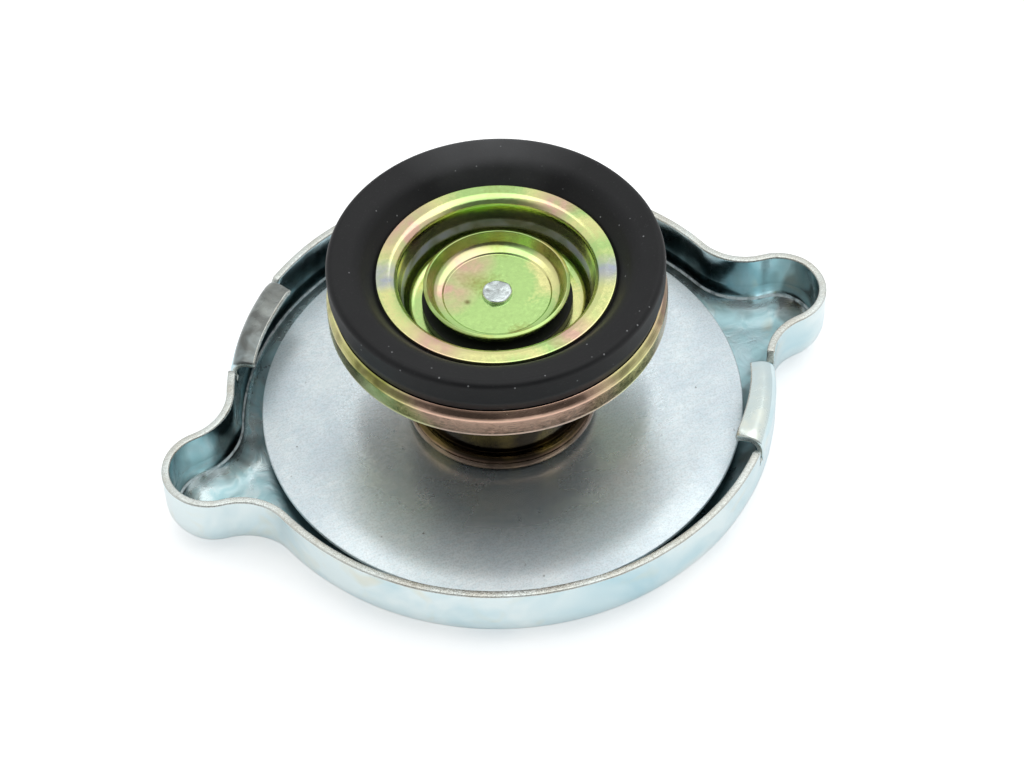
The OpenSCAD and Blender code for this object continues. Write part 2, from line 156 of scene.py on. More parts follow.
class CapValveSizes(PropertyGroup):
    """Sizes of the disc, the bell and the two valves."""

    disc_t: length("Disc sheet", "Thickness of the spring disc", 0.6)
    disc_band_r: length("Disc band", "Inner radius of the disc's flat sealing band", 19)
    disc_edge_w: length("Disc edge", "Width of the disc's edge that falls a little", 3)
    disc_edge_fall: length("Disc fall", "Fall of the disc's edge", 0.4)
    bell_t: length("Bell sheet", "Thickness of the bell's sheet", 0.8)
    bell_r: length("Bell", "Radius of the bell's tube", 10.9)
    bead_h: length("Bead", "Height of the rolled bead at the bell's foot", 2.6)
    sleeve_t: length("Sleeve sheet", "Thickness of the guide sleeve's sheet", 0.7)
    sleeve_r: length("Sleeve", "Radius of the guide sleeve", 8.8)
    slide_gap: length("Slide gap", "Clearance between sleeve and bell mouth", 0.15)
    hole_gap: length("Hole gap", "Clearance of a shank in its hole", 0.05)
    carrier_t: length("Carrier sheet", "Thickness of the carrier's sheet", 0.6)
    carrier_wall_h: length("Carrier wall", "Height of the carrier's upright wall", 3.6)
    carrier_lip_in: length("Carrier lip", "How far the carrier's lip is rolled in", 0.7)
    gasket_rise: length("Rubber rise", "Rise of the rubber ring above its clamped part", 3.4)
    gasket_round_r: length("Rubber edge", "Rounding of the rubber ring's outer edge", 0.8)
    gasket_crown_in: share("Rubber crown in", "Where the rubber levels off, as a share of its width", 0.35)
    gasket_crown_up: share("Rubber crown up", "Where the rubber levels off, as a share of its rise", 0.74)
    gasket_crown_r: length("Rubber crown", "Radius of the bulge where the rubber levels off", 3)
    # The rubber's grey spot is a painted reflection of the bright surround on the ring's back edge
    painted_sheen_angle: angle("Rubber bloom", "Direction of the rubber ring's grey bloom from the ears", 70)
    rubber_gap: length("Rubber gap", "Gap between the rubber ring and the metal", 0.1)
    retainer_t: length("Retainer sheet", "Thickness of the retainer's sheet", 0.5)
    well_r: length("Well", "Radius of the retainer's well at its mouth", 12.45)
    well_floor_r: length("Well floor", "Radius of the well at its floor", 11.3)
    well_round_r: length("Well mouth", "Radius of the rounded mouth of the well", 1.3)
    well_foot_r: length("Well foot", "Radius of the bend from the well's wall to its floor", 1.2)
    neck_r: length("Neck", "Outer radius of the retainer's neck", 4.4)
    dish_t: length("Dish sheet", "Thickness of the vacuum dish", 0.5)
    dish_floor_r: length("Dish floor", "Radius of the dish's flat floor", 6.6)
    dish_step_h: length("Dish step", "Depth of the step round the dish's floor", 0.25)
    stem_r: length("Stem", "Radius of the vacuum valve's stem", 1.1)
    stem_head_h: length("Stem head", "Height of the stem's peened head", 0.55)
    spring_wire: length("Spring wire", "Wire diameter of the pressure spring", 2)
    spring_turns: share("Spring turns", "Turns of the pressure spring", 5)
    vac_wire: length("Light wire", "Wire diameter of the vacuum spring", 0.5)
    vac_turns: share("Light turns", "Turns of the vacuum spring", 4)


class CapColours(PropertyGroup):
    """Colours of the finishes."""

    zinc: colour("Zinc", "Bright zinc of the shell", 230, 243, 244)
    zinc_cool: colour("Cool zinc", "Blue-green cast in the zinc", 190, 221, 229)
    zinc_warm: colour("Warm zinc", "Faint straw cast in the zinc", 228, 226, 206)
    # Painted reflection of the pale sky on the pan's floor, a stronger blue-green
    zinc_sky_reflection: colour("Cyan zinc", "Stronger blue-green of the pan's floor", 182, 220, 226)
    zinc_worn: colour("Worn zinc", "Rubbed ivory of the tabs", 242, 248, 236)
    # The same grey also paints dark reflections on the shell's inner wall and shade under the carrier
    zinc_dull_and_shade: colour("Dull zinc", "Grey of the tab that is worn most", 108, 112, 109)
    # Painted shade on the pan's floor under the disc
    zinc_painted_shade: colour("Deep zinc", "Dark of the pan's floor under the disc", 60, 84, 90)
    cut_edge: colour("Cut edge", "Bare trimmed edge of the shell", 204, 204, 195)
    # The disc's colour also paints the highlight line along the shell's bend
    disc: colour("Disc", "Satin zinc of the spring disc", 242, 252, 255)
    disc_dull: colour("Dull disc", "Duller patches of the disc", 222, 234, 241)
    lime: colour("Lime", "Green tone of the yellow zinc", 192, 228, 146)
    straw: colour("Straw", "Yellow tone of the yellow zinc", 240, 238, 166)
    rose: colour("Rose", "Pink tone of the yellow zinc", 228, 190, 168)
    olive: colour("Olive", "Olive tone of the yellow zinc", 170, 172, 96)
    bronze: colour("Bronze", "Brown tone of the yellow zinc", 112, 96, 54)
    # Used as painted dark reflection on the bell and on the carrier's lip that leans in
    umber_shade: colour("Umber", "Dark tone of the yellow zinc", 52, 44, 34)
    # Painted dark reflection inside the retainer's well
    well: colour("Well", "Dark green tone inside the retainer's well", 84, 98, 56)
    # Also paints the reflection of the sky in the bend at the foot of the retainer's well
    violet: colour("Violet", "Pale blue-violet tone of the yellow zinc", 178, 186, 206)
    rubber: colour("Rubber", "Black rubber", 16, 17, 19)
    # The same grey also paints the reflection on the rubber ring's back edge
    dust_and_sheen: colour("Dust", "Dust on the rubber", 150, 152, 154)
    rivet: colour("Rivet", "Bare steel of the rivets", 206, 216, 216)
    wire: colour("Wire", "Oiled spring wire", 120, 120, 118)


class CapStudio(PropertyGroup):
    """Camera and light."""

    azimuth: angle("Azimuth", "Camera's turn round the cap", -19.6)
    elevation: angle("Elevation", "Camera's height above the horizon", 49.5)
    roll: angle("Roll", "Turn of the picture", 2.5)
    distance: length("Distance", "From the camera to the disc's middle", 387.5)
    focal: share("Focal length", "Focal length in pixels of the picture", 3000)
    target_u: share("Target across", "Pixel column of the disc's middle", 501.6)
    target_v: share("Target down", "Pixel row of the disc's middle", 397.0)
    lamp: share("Softbox", "Power of the overhead softbox in watts", 1.5)
    sky: share("Sky", "Strength of the studio's white surround", 0.8)
    floor: colour("Floor", "Pale floor", 238, 239, 240)
    floor_r: length("Floor radius", "Radius of the round floor", 2500)
    floor_lift: share("Floor lift", "How much the floor is brightened in the picture", 0.48)
    mirror_lift: share("Mirror lift", "How much the floor is brightened in reflections", 0.24)


PICTURE_W, PICTURE_H = 1024, 770
SENSOR_MM = 36
CLIP_START, CLIP_END = 0.01, 20
FLOOR_SIDES = 96
# Room between the floor and the cap's face
FLOOR_GAP = 0.02 * MM
SOFTBOX_W, SOFTBOX_D = 0.8, 0.6
SOFTBOX_PLACE = (0.12, 0.0, 0.6)
SOFTBOX_AIM = (0, 0, 0.02)
# The surround darkens towards the camera: rise of that side, cosines where it starts and ends, what is left
FRONT_RISE = 0.35
FRONT_FROM, FRONT_TO = 0.35, 0.9
FRONT_LEFT = 0.2


# Plane lines of bent sheet

def beside(path, i, d):
    """Point i of a path, moved to its left by d."""
    k = max(i, 1)
    before = (path[k] - path[k - 1]).normalized()
    k = min(i, len(path) - 2)
    after = (path[k + 1] - path[k]).normalized()
    middle = before.orthogonal() + after.orthogonal()
    middle.normalize()
    return path[i] + middle * (d / middle.dot(before.orthogonal()))


def rounded_corner(a, b, c, r, steps):
    """Arc of radius r that rounds the corner b between a and c."""
    u = (a - b).normalized()
    v = (c - b).normalized()
    half = math.acos(max(-1.0, min(1.0, u.dot(v)))) / 2
    centre = b + (u + v).normalized() * (r / math.sin(half))
    start = b + u * (r / math.tan(half)) - centre
    way = -1 if u.x * v.y - u.y * v.x > 0 else 1
    return [centre + Matrix.Rotation(way * (math.pi - 2 * half) * i / steps, 2) @ start
            for i in range(steps + 1)]


def without_doubles(points):
    """The points of a line, without those that fall on the one before."""
    kept = points[:1]
    for p in points[1:]:
        if (p - kept[-1]).length > SAME_POINT:
            kept.append(p)
    return kept


def bent_path(corners, steps=BEND_STEPS):
    """Line through corners given as (x, z) or (x, z, bend radius)."""
    spots = [Vector(c[:2]) for c in corners]
    points = []
    for i, c in enumerate(corners):
        if len(c) < 3 or i in (0, len(corners) - 1):
            points.append(spots[i])
        else:
            points += rounded_corner(spots[i - 1], spots[i], spots[i + 1], c[2], steps)
    return without_doubles(points)


def held(outline):
    """The closed outline with points added near the ends of its long straights."""
    points = []
    for i, a in enumerate(outline):
        b = outline[(i + 1) % len(outline)]
        points.append(a)
        run = b - a
        if run.length > 4 * HOLD:
            step = run.normalized() * HOLD
            points += [a + step, b - step]
    return points


def sheet_section(corners, thickness, edge_r):
    """Closed section of a sheet on the left of a bent line, with its cut edges rounded."""
    path = bent_path(corners)
    other = [beside(path, i, thickness) for i in range(len(path))]
    outline = path + other[::-1]
    ends = (0, len(path) - 1, len(path), len(outline) - 1)
    section = []
    for i, p in enumerate(outline):
        if i in ends:
            after = outline[(i + 1) % len(outline)]
            section += rounded_corner(outline[i - 1], p, after, edge_r, EDGE_STEPS)
        else:
            section.append(p)
    return held(without_doubles(section))


def solid_section(corners):
    """Closed section through corners (x, z) or (x, z, radius) that starts and ends on the axis."""
    return held(bent_path(corners))


# Meshes

def mesh_object(name, points, faces, slots=None):
    """A smooth object of its own mesh, in the cap's frame."""
    mesh = bpy.data.meshes.new(name)
    mesh.from_pydata(points, [], faces)
    if slots:
        mesh.polygons.foreach_set("material_index", slots)
    work = bmesh.new()
    work.from_mesh(mesh)
    bmesh.ops.remove_doubles(work, verts=work.verts, dist=SAME_POINT)
    bmesh.ops.dissolve_degenerate(work, edges=work.edges, dist=SAME_POINT / 2)
    bmesh.ops.recalc_face_normals(work, faces=work.faces)
    work.to_mesh(mesh)
    work.free()
    mesh.shade_smooth()
    thing = bpy.data.objects.new(name, mesh)
    bpy.context.scene.collection.objects.link(thing)
    return thing


def lathe(name, section, steps=LATHE_STEPS, uneven=None):
    """A turned piece: the closed section of (radius, height) points, turned round Z."""
    points = []
    rows = []
    for p in section:
        on_axis = p.x < SAME_POINT
        row = []
        for k in range(1 if on_axis else steps):
            turn = 2 * math.pi * k / steps
            r, z = (p.x, p.y) if uneven is None else uneven(turn, p.x, p.y)
            row.append(len(points))
            points.append((r * math.cos(turn), r * math.sin(turn), z))
        rows.append(row)
    faces = []
    for i, row in enumerate(rows):
        below = rows[i - 1]
        for k in range(steps):
            ring = [below[k % len(below)], below[(k + 1) % len(below)],
                    row[(k + 1) % len(row)], row[k % len(row)]]
            corners = list(dict.fromkeys(ring))
            if len(corners) > 2:
                faces.append(corners)
    return mesh_object(name, points, faces)


def dress(thing, body, slot, nodes, *finishes):
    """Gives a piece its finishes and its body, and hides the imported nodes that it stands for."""
    for finish in finishes:
        thing.data.materials.append(finish)
    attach(thing, body)
    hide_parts(*nodes)


# Procedural finishes

class NodeTree:
    """Nodes of a material or of the studio's surround."""

    def __init__(self, block):
        block.use_nodes = True
        self.block = block
        self.nodes = block.node_tree.nodes
        self.links = block.node_tree.links

    def only(self, kind):
        """The tree's first node of a kind."""
        return next(n for n in self.nodes if n.type == kind)

    def add(self, kind, inputs, **settings):
        """A node with its inputs set or linked."""
        node = self.nodes.new(kind)
        for key, value in settings.items():
            setattr(node, key, value)
        for key, value in inputs.items():
            if isinstance(value, bpy.types.NodeSocket):
                self.links.new(value, node.inputs[key])
            else:
                node.inputs[key].default_value = value
        return node

    def times(self, a, b):
        """Product of two values."""
        return self.add("ShaderNodeMath", {0: a, 1: b}, operation="MULTIPLY").outputs[0]


class Finish(NodeTree):
    """Node tree of one finish, in the piece's own coordinates, in metres."""

    def __init__(self, name, **sockets):
        super().__init__(bpy.data.materials.new(name))
        self.shader = self.only("BSDF_PRINCIPLED")
        for key, value in sockets.items():
            self.socket(key).default_value = value
        self.place = self.add("ShaderNodeTexCoord", {}).outputs["Object"]

    def socket(self, key):
        """The shader's socket of a name like base_color."""
        return self.shader.inputs[key.replace("_", " ").title().replace("Ior", "IOR")]

    def stretched(self, stretch):
        """The piece's coordinates, stretched along its axes."""
        return self.add("ShaderNodeMapping", {"Vector": self.place, "Scale": stretch}).outputs[0]

    def grain(self, size, detail=2.0, rough=0.5, twist=0.0, place=None):
        """Soft noise whose patches are about size across, from 0 to 1."""
        return self.add("ShaderNodeTexNoise", {
            "Vector": place or self.place, "Scale": 1 / size, "Detail": detail,
            "Roughness": rough, "Distortion": twist}).outputs[0]

    def cells(self, size):
        """Distance from scattered points and a grey value of each, about size apart."""
        node = self.add("ShaderNodeTexVoronoi", {"Vector": self.place, "Scale": 1 / size})
        grey = self.add("ShaderNodeSeparateColor", {"Color": node.outputs["Color"]}).outputs[0]
        return node.outputs["Distance"], grey

    def span(self, value, low, high, to_low=0.0, to_high=1.0):
        """The value's range from low to high, mapped and clamped."""
        return self.add("ShaderNodeMapRange", {
            "Value": value, "From Min": low, "From Max": high,
            "To Min": to_low, "To Max": to_high}).outputs[0]

    def without(self, mask):
        """1 less a mask."""
        return self.span(mask, 0.0, 1.0, 1.0, 0.0)

    def near(self, spot, core, reach):
        """1 within core of a point of the piece, falling to 0 at reach."""
        gap = self.add("ShaderNodeVectorMath", {0: self.place, 1: spot}, operation="DISTANCE")
        return self.span(gap.outputs["Value"], core, reach, 1.0, 0.0)

    def band(self, low, high, soft):
        """1 between two heights of the piece, falling to 0 over the soft height outside them."""
        height = self.add("ShaderNodeSeparateXYZ", {"Vector": self.place}).outputs["Z"]
        return self.times(self.span(height, low - soft, low, 0.0, 1.0),
                          self.span(height, high, high + soft, 1.0, 0.0))

    def plus(self, total, *others):
        """Sum of values."""
        for other in others:
            total = self.add("ShaderNodeMath", {0: total, 1: other}, operation="ADD").outputs[0]
        return total

    def mix(self, share_of_b, a, b):
        """Blend of two colours."""
        return self.add("ShaderNodeMix", {0: share_of_b, 6: rgba(a), 7: rgba(b)},
                        data_type="RGBA").outputs[2]

    def coats(self, tone, *layers):
        """A colour under layers given as (share, shade)."""
        for share_of_layer, shade in layers:
            tone = self.mix(share_of_layer, tone, shade)
        return tone

    def ramp(self, value, stops):
        """Colours along a value, given as (place, colour)."""
        node = self.add("ShaderNodeValToRGB", {"Fac": value})
        marks = node.color_ramp.elements
        while len(marks) < len(stops):
            marks.new(1.0)
        for mark, (place, shade) in zip(marks, stops):
            mark.position = place
            mark.color = rgba(shade)
        return node.outputs["Color"]

    def relief(self, *layers):
        """Surface relief of layers given as (height, depth), each over the one before."""
        under = {}
        for height, depth in layers:
            bump = self.add("ShaderNodeBump", {"Height": height, "Distance": depth, "Strength": 1.0, **under})
            under = {"Normal": bump.outputs[0]}
        return bump.outputs[0]

    def wear(self, **sockets):
        """Links values to the shader's sockets and returns the material."""
        for key, value in sockets.items():
            self.links.new(value, self.socket(key))
        return self.block


def rgba(shade):
    """A colour or socket as a node input takes it."""
    if isinstance(shade, bpy.types.NodeSocket):
        return shade
    return (*shade[:3], 1.0)


# The shell's wear and painted light: where its floor is still flat and painted pale, the painted highlight
# line, the disc's painted shade, the wall's inner face with painted dark reflections (place along the
# normal), the rubbed band of the tabs, and the tab that is worn most
FLAT_H = 0.8 * MM
LINE_W, LINE_SOFT = 0.25 * MM, 0.12 * MM
SHADE_SOFT = 0.5 * MM
INNER_FROM, INNER_TO = -8 * MM, -3 * MM
RUB_ABOVE, RUB_SOFT = 0.9 * MM, 0.8 * MM
WORN_BELOW, WORN_SOFT = 0.4 * MM, 0.3 * MM
WORN_CORE, WORN_REACH = 8 * MM, 9 * MM


def bright_zinc(name, tones, floor_z, rim_z, crease_z, disc_r, worn_spot):
    """Blue-white zinc plate: faint casts, scratches, tabs rubbed warm, painted dark reflections on the inner
    wall.

    The floor bears painted pale reflections and painted shade under the disc; a painted highlight runs along
    the bend.
    """
    f = Finish(name, metallic=1.0)
    facing = f.add("ShaderNodeTexCoord", {}).outputs["Normal"]
    upward = f.add("ShaderNodeSeparateXYZ", {"Vector": facing}).outputs["Z"]
    inside = f.span(upward, 0.0, 0.3)
    flat_z = floor_z + FLAT_H
    # The floor, and the bend up to the painted highlight line, painted as one flat floor
    on_floor = f.times(f.band(0.0, flat_z, crease_z - flat_z), inside)
    # A painted highlight: a pale line along the bend where a sharp fold would catch the light
    line = f.times(f.band(crease_z, crease_z + LINE_W, LINE_SOFT), inside)
    crease_highlight = f.times(line, f.span(f.grain(0.9 * MM, detail=3.0), 0.36, 0.56, 0.5, 1.0))
    # Painted shade on the floor under the disc
    shade = f.near((0.0, 0.0, floor_z), disc_r - SHADE_SOFT, disc_r + SHADE_SOFT)
    shade_under_disc = f.times(shade, inside)
    # The open floor is dulled so that its painted pale reflection shows
    open_floor = f.times(on_floor, f.without(shade_under_disc))
    # The wall's inner face, which carries painted dark reflections
    outward = f.add("ShaderNodeVectorMath", {0: facing, 1: f.place}, operation="DOT_PRODUCT")
    on_inner_wall = f.span(outward.outputs["Value"], INNER_FROM, INNER_TO, 1.0, 0.0)
    on_tab = f.band(rim_z + RUB_ABOVE, 2 * rim_z, RUB_SOFT)
    rubbed = f.times(on_tab, f.span(f.grain(1.6 * MM, detail=4.0), 0.36, 0.56, 1.0, 0.6))
    worn_tab = f.times(f.band(rim_z - WORN_BELOW, 2 * rim_z, WORN_SOFT),
                       f.near(worn_spot, WORN_CORE, WORN_REACH))
    cast = f.grain(11 * MM, detail=3.0, twist=0.6)
    warm = f.grain(7 * MM, twist=1.0)
    blotch = f.grain(3.4 * MM, detail=4.0, rough=0.6, twist=0.8)
    wall_reflection = f.grain(5 * MM, twist=0.5, place=f.stretched((1.0, 1.0, 0.4)))
    scratch = f.grain(0.5 * MM, detail=3.0, place=f.stretched((0.09, 1.0, 1.0)))
    tone = f.coats(
        tones.zinc,
        (f.span(cast, 0.4, 0.7), tones.zinc_cool),
        (f.span(warm, 0.56, 0.76, 0.0, 0.6), tones.zinc_warm),
        # Painted pale reflection of the sky, in blotches over the floor
        (f.times(on_floor, f.span(blotch, 0.42, 0.6, 0.2, 1.0)), tones.zinc_sky_reflection),
        # Painted dark reflections, smeared over the wall's inner face
        (f.times(on_inner_wall, f.span(wall_reflection, 0.46, 0.62, 0.0, 0.65)), tones.zinc_dull_and_shade),
        (rubbed, tones.zinc_worn),
        (f.times(worn_tab, f.span(blotch, 0.35, 0.6, 0.75, 1.0)), tones.zinc_dull_and_shade),
        # The painted shade under the disc
        (f.times(shade_under_disc, 0.85), tones.zinc_painted_shade),
        # The painted highlight line, in the disc's pale colour
        (crease_highlight, tones.disc))
    relief = f.relief((f.grain(5 * MM, detail=1.0), 0.09 * MM), (f.times(on_floor, blotch), 0.12 * MM),
                      (scratch, 0.006 * MM), (f.grain(0.16 * MM), 0.002 * MM))
    rough = f.plus(f.span(cast, 0.3, 0.7, 0.1, 0.17), f.span(scratch, 0.55, 0.75, 0.0, 0.1),
                   f.times(on_floor, f.span(blotch, 0.35, 0.65, 0.1, 0.32)), f.times(rubbed, 0.25))
    # Film lowers the metal under the painted highlight line, the painted pale floor and the rubbed tabs
    film = f.plus(f.plus(f.times(crease_highlight, 0.85), f.times(open_floor, 0.5)),
                  f.plus(f.times(rubbed, 0.5), f.times(worn_tab, 0.4)))
    return f.wear(base_color=tone, roughness=rough, normal=relief, metallic=f.without(film))


def trimmed_edge(name, tones):
    """Bare sheared edge of the sheet: warm silver, finely torn, sparkling."""
    f = Finish(name, metallic=0.75)
    tear = f.grain(0.3 * MM, detail=4.0, rough=0.7)
    worn = f.grain(5 * MM, detail=3.0)
    tone = f.coats(tones.cut_edge, (f.span(worn, 0.36, 0.62, 0.0, 0.5), tones.zinc),
                   (f.span(tear, 0.54, 0.7, 0.0, 0.4), tones.bronze))
    rough = f.span(tear, 0.3, 0.7, 0.16, 0.4)
    return f.wear(base_color=tone, roughness=rough, normal=f.relief((tear, 0.05 * MM)))


# Width over which the disc's rubbed edge fades in
RUB_FADE = 7 * MM


def satin_zinc(name, tones, rubbed_r):
    """Dull rolled zinc sheet: rolling grain, cloudy patches, pale scratches, dark nicks, rubbed edge."""
    f = Finish(name)
    cloud = f.grain(9 * MM, detail=4.0, rough=0.6)
    rubbed = f.near((0.0, 0.0, 0.0), rubbed_r, rubbed_r - RUB_FADE)
    roll = f.grain(0.3 * MM, detail=3.0, place=f.stretched((0.3, 1.0, 1.0)))
    speckle = f.grain(0.22 * MM, detail=3.0, rough=0.7)
    spot, grey = f.cells(2.4 * MM)
    ragged = f.plus(spot, f.span(f.grain(0.25 * MM, detail=3.0), 0.3, 0.7, -0.05, 0.05))
    nick = f.times(f.span(ragged, 0.02, 0.07, 1.0, 0.0), f.span(grey, 0.5, 0.6))
    lines = f.grain(0.35 * MM, place=f.stretched((0.05, 1.0, 1.0)))
    scratch = f.times(f.span(lines, 0.66, 0.74), f.span(cloud, 0.4, 0.6, 0.0, 0.6))
    tone = f.coats(
        tones.disc,
        (f.span(cloud, 0.36, 0.64), tones.disc_dull),
        (f.span(roll, 0.4, 0.8, 0.0, 0.4), tones.zinc_cool),
        (f.span(speckle, 0.42, 0.66, 0.0, 0.24), tones.zinc_dull_and_shade),
        (f.times(nick, 0.75), tones.rubber),
        (scratch, tones.zinc))
    relief = f.relief((roll, 0.008 * MM), (f.grain(0.12 * MM), 0.004 * MM))
    rough = f.plus(f.span(cloud, 0.3, 0.7, 0.23, 0.3), f.times(nick, 0.2), f.times(rubbed, 0.06))
    metal = f.span(rubbed, 0.0, 1.0, 0.78, 0.5)
    return f.wear(base_color=tone, roughness=rough, normal=relief, metallic=metal)


# A round patch of one shade, and a belt of one shade between two heights, whose film dulls the metal;
# the finishes use such belts for tone and for painted shade, highlights and reflections
Stain = namedtuple("Stain", "spot core reach shade")
Band = namedtuple("Band", "low high soft strength film shade")
# Core of a stain as a share of its reach
STAIN_CORE = 0.3


def yellow_zinc(name, stops, patch, roughness, stains=(), bands=()):
    """Iridescent passivated zinc: tones that drift into each other, stains, and bands of tone and of painted
    light.
    """
    f = Finish(name, metallic=1.0)
    drift = f.grain(patch, detail=1.0, rough=0.4, twist=0.4)
    fine = f.grain(0.5 * MM, detail=3.0)
    tone = f.ramp(f.plus(drift, f.span(fine, 0.3, 0.7, -0.02, 0.02)), stops)
    ragged = f.span(f.grain(2 * MM, detail=3.0), 0.3, 0.6, 0.45, 1.0)
    for spot, core, reach, shade in stains:
        tone = f.mix(f.times(f.near(spot, core, reach), ragged), tone, shade)
    haze = 0.0
    uneven = f.span(f.grain(5 * MM, twist=0.5), 0.38, 0.58, 0.4, 1.0)
    for low, high, soft, strength, film, shade in bands:
        mask = f.times(f.band(low, high, soft), uneven)
        tone = f.mix(f.times(mask, strength), tone, shade)
        haze = f.plus(haze, f.times(mask, film))
    metal = f.without(haze)
    lines = f.grain(0.4 * MM, place=f.stretched((0.3, 0.3, 2.5)))
    relief = f.relief((f.grain(2.2 * MM), 0.02 * MM), (lines, 0.005 * MM))
    rough = f.span(fine, 0.3, 0.75, roughness * 0.75, roughness * 1.4)
    return f.wear(base_color=tone, roughness=rough, normal=relief, metallic=metal)


def stains_round(radius, height, marks):
    """Stains on a circle round the axis, given as (degrees, reach in mm, shade)."""
    stains = []
    for degrees, reach, shade in marks:
        turn = math.radians(degrees)
        spot = (radius * math.cos(turn), radius * math.sin(turn), height)
        stains.append(Stain(spot, STAIN_CORE * reach * MM, reach * MM, shade))
    return stains


def black_rubber(name, tones, painted_sheen=()):
    """Moulded rubber: matte, faintly mottled, scattered dust, a painted grey reflection round one spot."""
    f = Finish(name, metallic=0.0, specular_ior_level=0.26, sheen_weight=0.03, sheen_roughness=0.4)
    mottle = f.grain(6 * MM, detail=4.0)
    near, grey = f.cells(1.3 * MM)
    mote = f.times(f.span(near, 0.05, 0.11, 0.8, 0.0), f.span(grey, 0.5, 0.75))
    fluff = f.span(f.grain(0.25 * MM, detail=4.0), 0.62, 0.78, 0.0, 0.06)
    dust_and_sheen_shares = [f.span(mottle, 0.3, 0.7, 0.0, 0.02), f.plus(mote, fluff)]
    # A painted reflection of the bright surround round one spot
    if painted_sheen:
        dust_and_sheen_shares.append(f.times(f.near(*painted_sheen), f.span(mottle, 0.3, 0.7, 0.14, 0.22)))
    tone = f.coats(tones.rubber, *((amount, tones.dust_and_sheen) for amount in dust_and_sheen_shares))
    relief = f.relief((f.grain(0.22 * MM, detail=3.0), 0.012 * MM))
    rough = f.span(mottle, 0.3, 0.7, 0.42, 0.54)
    return f.wear(base_color=tone, roughness=rough, normal=relief)


def bare_steel(name, shade, dark, roughness):
    """Peened or drawn steel: hammered dimples, dark hollows."""
    f = Finish(name, metallic=1.0)
    dimple = f.grain(0.7 * MM, detail=3.0)
    tone = f.mix(f.span(dimple, 0.3, 0.5, 0.5, 0.0), shade, dark)
    relief = f.relief((dimple, 0.05 * MM))
    rough = f.span(f.grain(0.3 * MM), 0.3, 0.7, roughness * 0.7, roughness * 1.3)
    return f.wear(base_color=tone, roughness=rough, normal=relief)


# Pressed shell

# Distance of the outline's points along the ears, their sweeps and the round wall
EAR_STEP = 0.5 * MM
FLARE_STEP = 0.3 * MM
WALL_STEP = 0.6 * MM
# Share of a tab's length at which its stop begins, and the stop's own share
STOP_FROM, STOP_RUN = 0.93, 0.07
# Lengths of the rim's long and short waves
LONG_WAVE, SHORT_WAVE = 7 * MM, 2.2 * MM
# Where the flat floor has its points, from the bend to the recess
FLOOR_SHARES = (0.03, 0.5, 0.97)
# Points along each face of the sheet above the notches, and the outline's zones between its cuts
FACE_POINTS = 18
RIM_ZONES = (0, 4)
TAB_ZONE = 2

# A point of the outline: place, way in, zone between the cuts, share and climb along the tab, cut or not
Sample = namedtuple("Sample", "point inward zone along climb cut")


def arc(centre, radius, start, end, step, facing):
    """Points along an arc with their inward normals; facing is -1 where inward is to its centre."""
    count = max(2, math.ceil(abs(end - start) * radius / step))
    samples = []
    for i in range(count):
        turn = start + (end - start) * i / count
        out = Vector((math.cos(turn), math.sin(turn)))
        samples.append((Vector(centre) + out * radius, out * facing))
    return samples


def shell_outline(s, tab_angle):
    """Half the shell's outline, from one ear's tip to the other's, as samples."""
    ear_x = s.ear_reach - s.ear_tip_r
    flare_to_wall = s.wall_r + s.ear_flare_r
    flare_to_tip = s.ear_tip_r + s.ear_flare_r
    flare_x = (ear_x ** 2 + flare_to_wall ** 2 - flare_to_tip ** 2) / (2 * ear_x)
    flare_y = math.sqrt(flare_to_wall ** 2 - flare_x ** 2)
    wall_from = math.atan2(flare_y, flare_x)
    tip_to = math.atan2(flare_y, flare_x - ear_x)
    samples = arc((ear_x, 0), s.ear_tip_r, 0, tip_to, EAR_STEP, -1)
    samples += arc((flare_x, flare_y), s.ear_flare_r, math.pi + tip_to, math.pi + wall_from, FLARE_STEP, 1)
    samples += arc((0, 0), s.wall_r, wall_from, math.pi - wall_from, WALL_STEP, -1)
    samples += arc((-flare_x, flare_y), s.ear_flare_r, -wall_from, -tip_to, FLARE_STEP, 1)
    samples += arc((-ear_x, 0), s.ear_tip_r, math.pi - tip_to, math.pi, EAR_STEP, -1)
    return with_tab(s, samples, math.pi - tab_angle)


def with_tab(s, samples, middle):
    """The outline with a tab and its notches: doubled points where the sheet is cut."""
    notch = s.notch_w / s.wall_r
    ease = s.edge_r / s.wall_r
    far_end = middle - s.tab_span / 2
    ear_end = middle + s.tab_span / 2
    cuts = (far_end - notch, far_end, ear_end, ear_end + notch)
    for turn in (far_end, far_end + ease, ear_end - ease, ear_end):
        out = Vector((math.cos(turn), math.sin(turn)))
        samples.append((out * s.wall_r, -out))
    samples.sort(key=lambda sample: math.atan2(sample[0].y, sample[0].x))
    outline = []
    zone = 0
    for point, inward in samples:
        turn = math.atan2(point.y, point.x)
        climb = (middle - turn) * s.wall_r * math.tan(s.tab_ramp)
        along = (ear_end - turn) / s.tab_span
        while zone < len(cuts) and turn > cuts[zone] - ease / 2:
            outline.append(Sample(point, inward, zone, along, climb, True))
            zone += 1
            outline.append(Sample(point, inward, zone, along, climb, True))
        outline.append(Sample(point, inward, zone, along, climb, False))
    return outline


def evenly(points, count):
    """A line through points, as count points at even spacing."""
    runs = [(b - a).length for a, b in zip(points, points[1:])]
    total = sum(runs)
    spots = []
    i = 0
    passed = 0.0
    for k in range(count):
        goal = total * k / (count - 1)
        while i < len(runs) - 1 and passed + runs[i] < goal:
            passed += runs[i]
            i += 1
        spots.append(points[i].lerp(points[i + 1], min(1.0, (goal - passed) / runs[i])))
    return spots


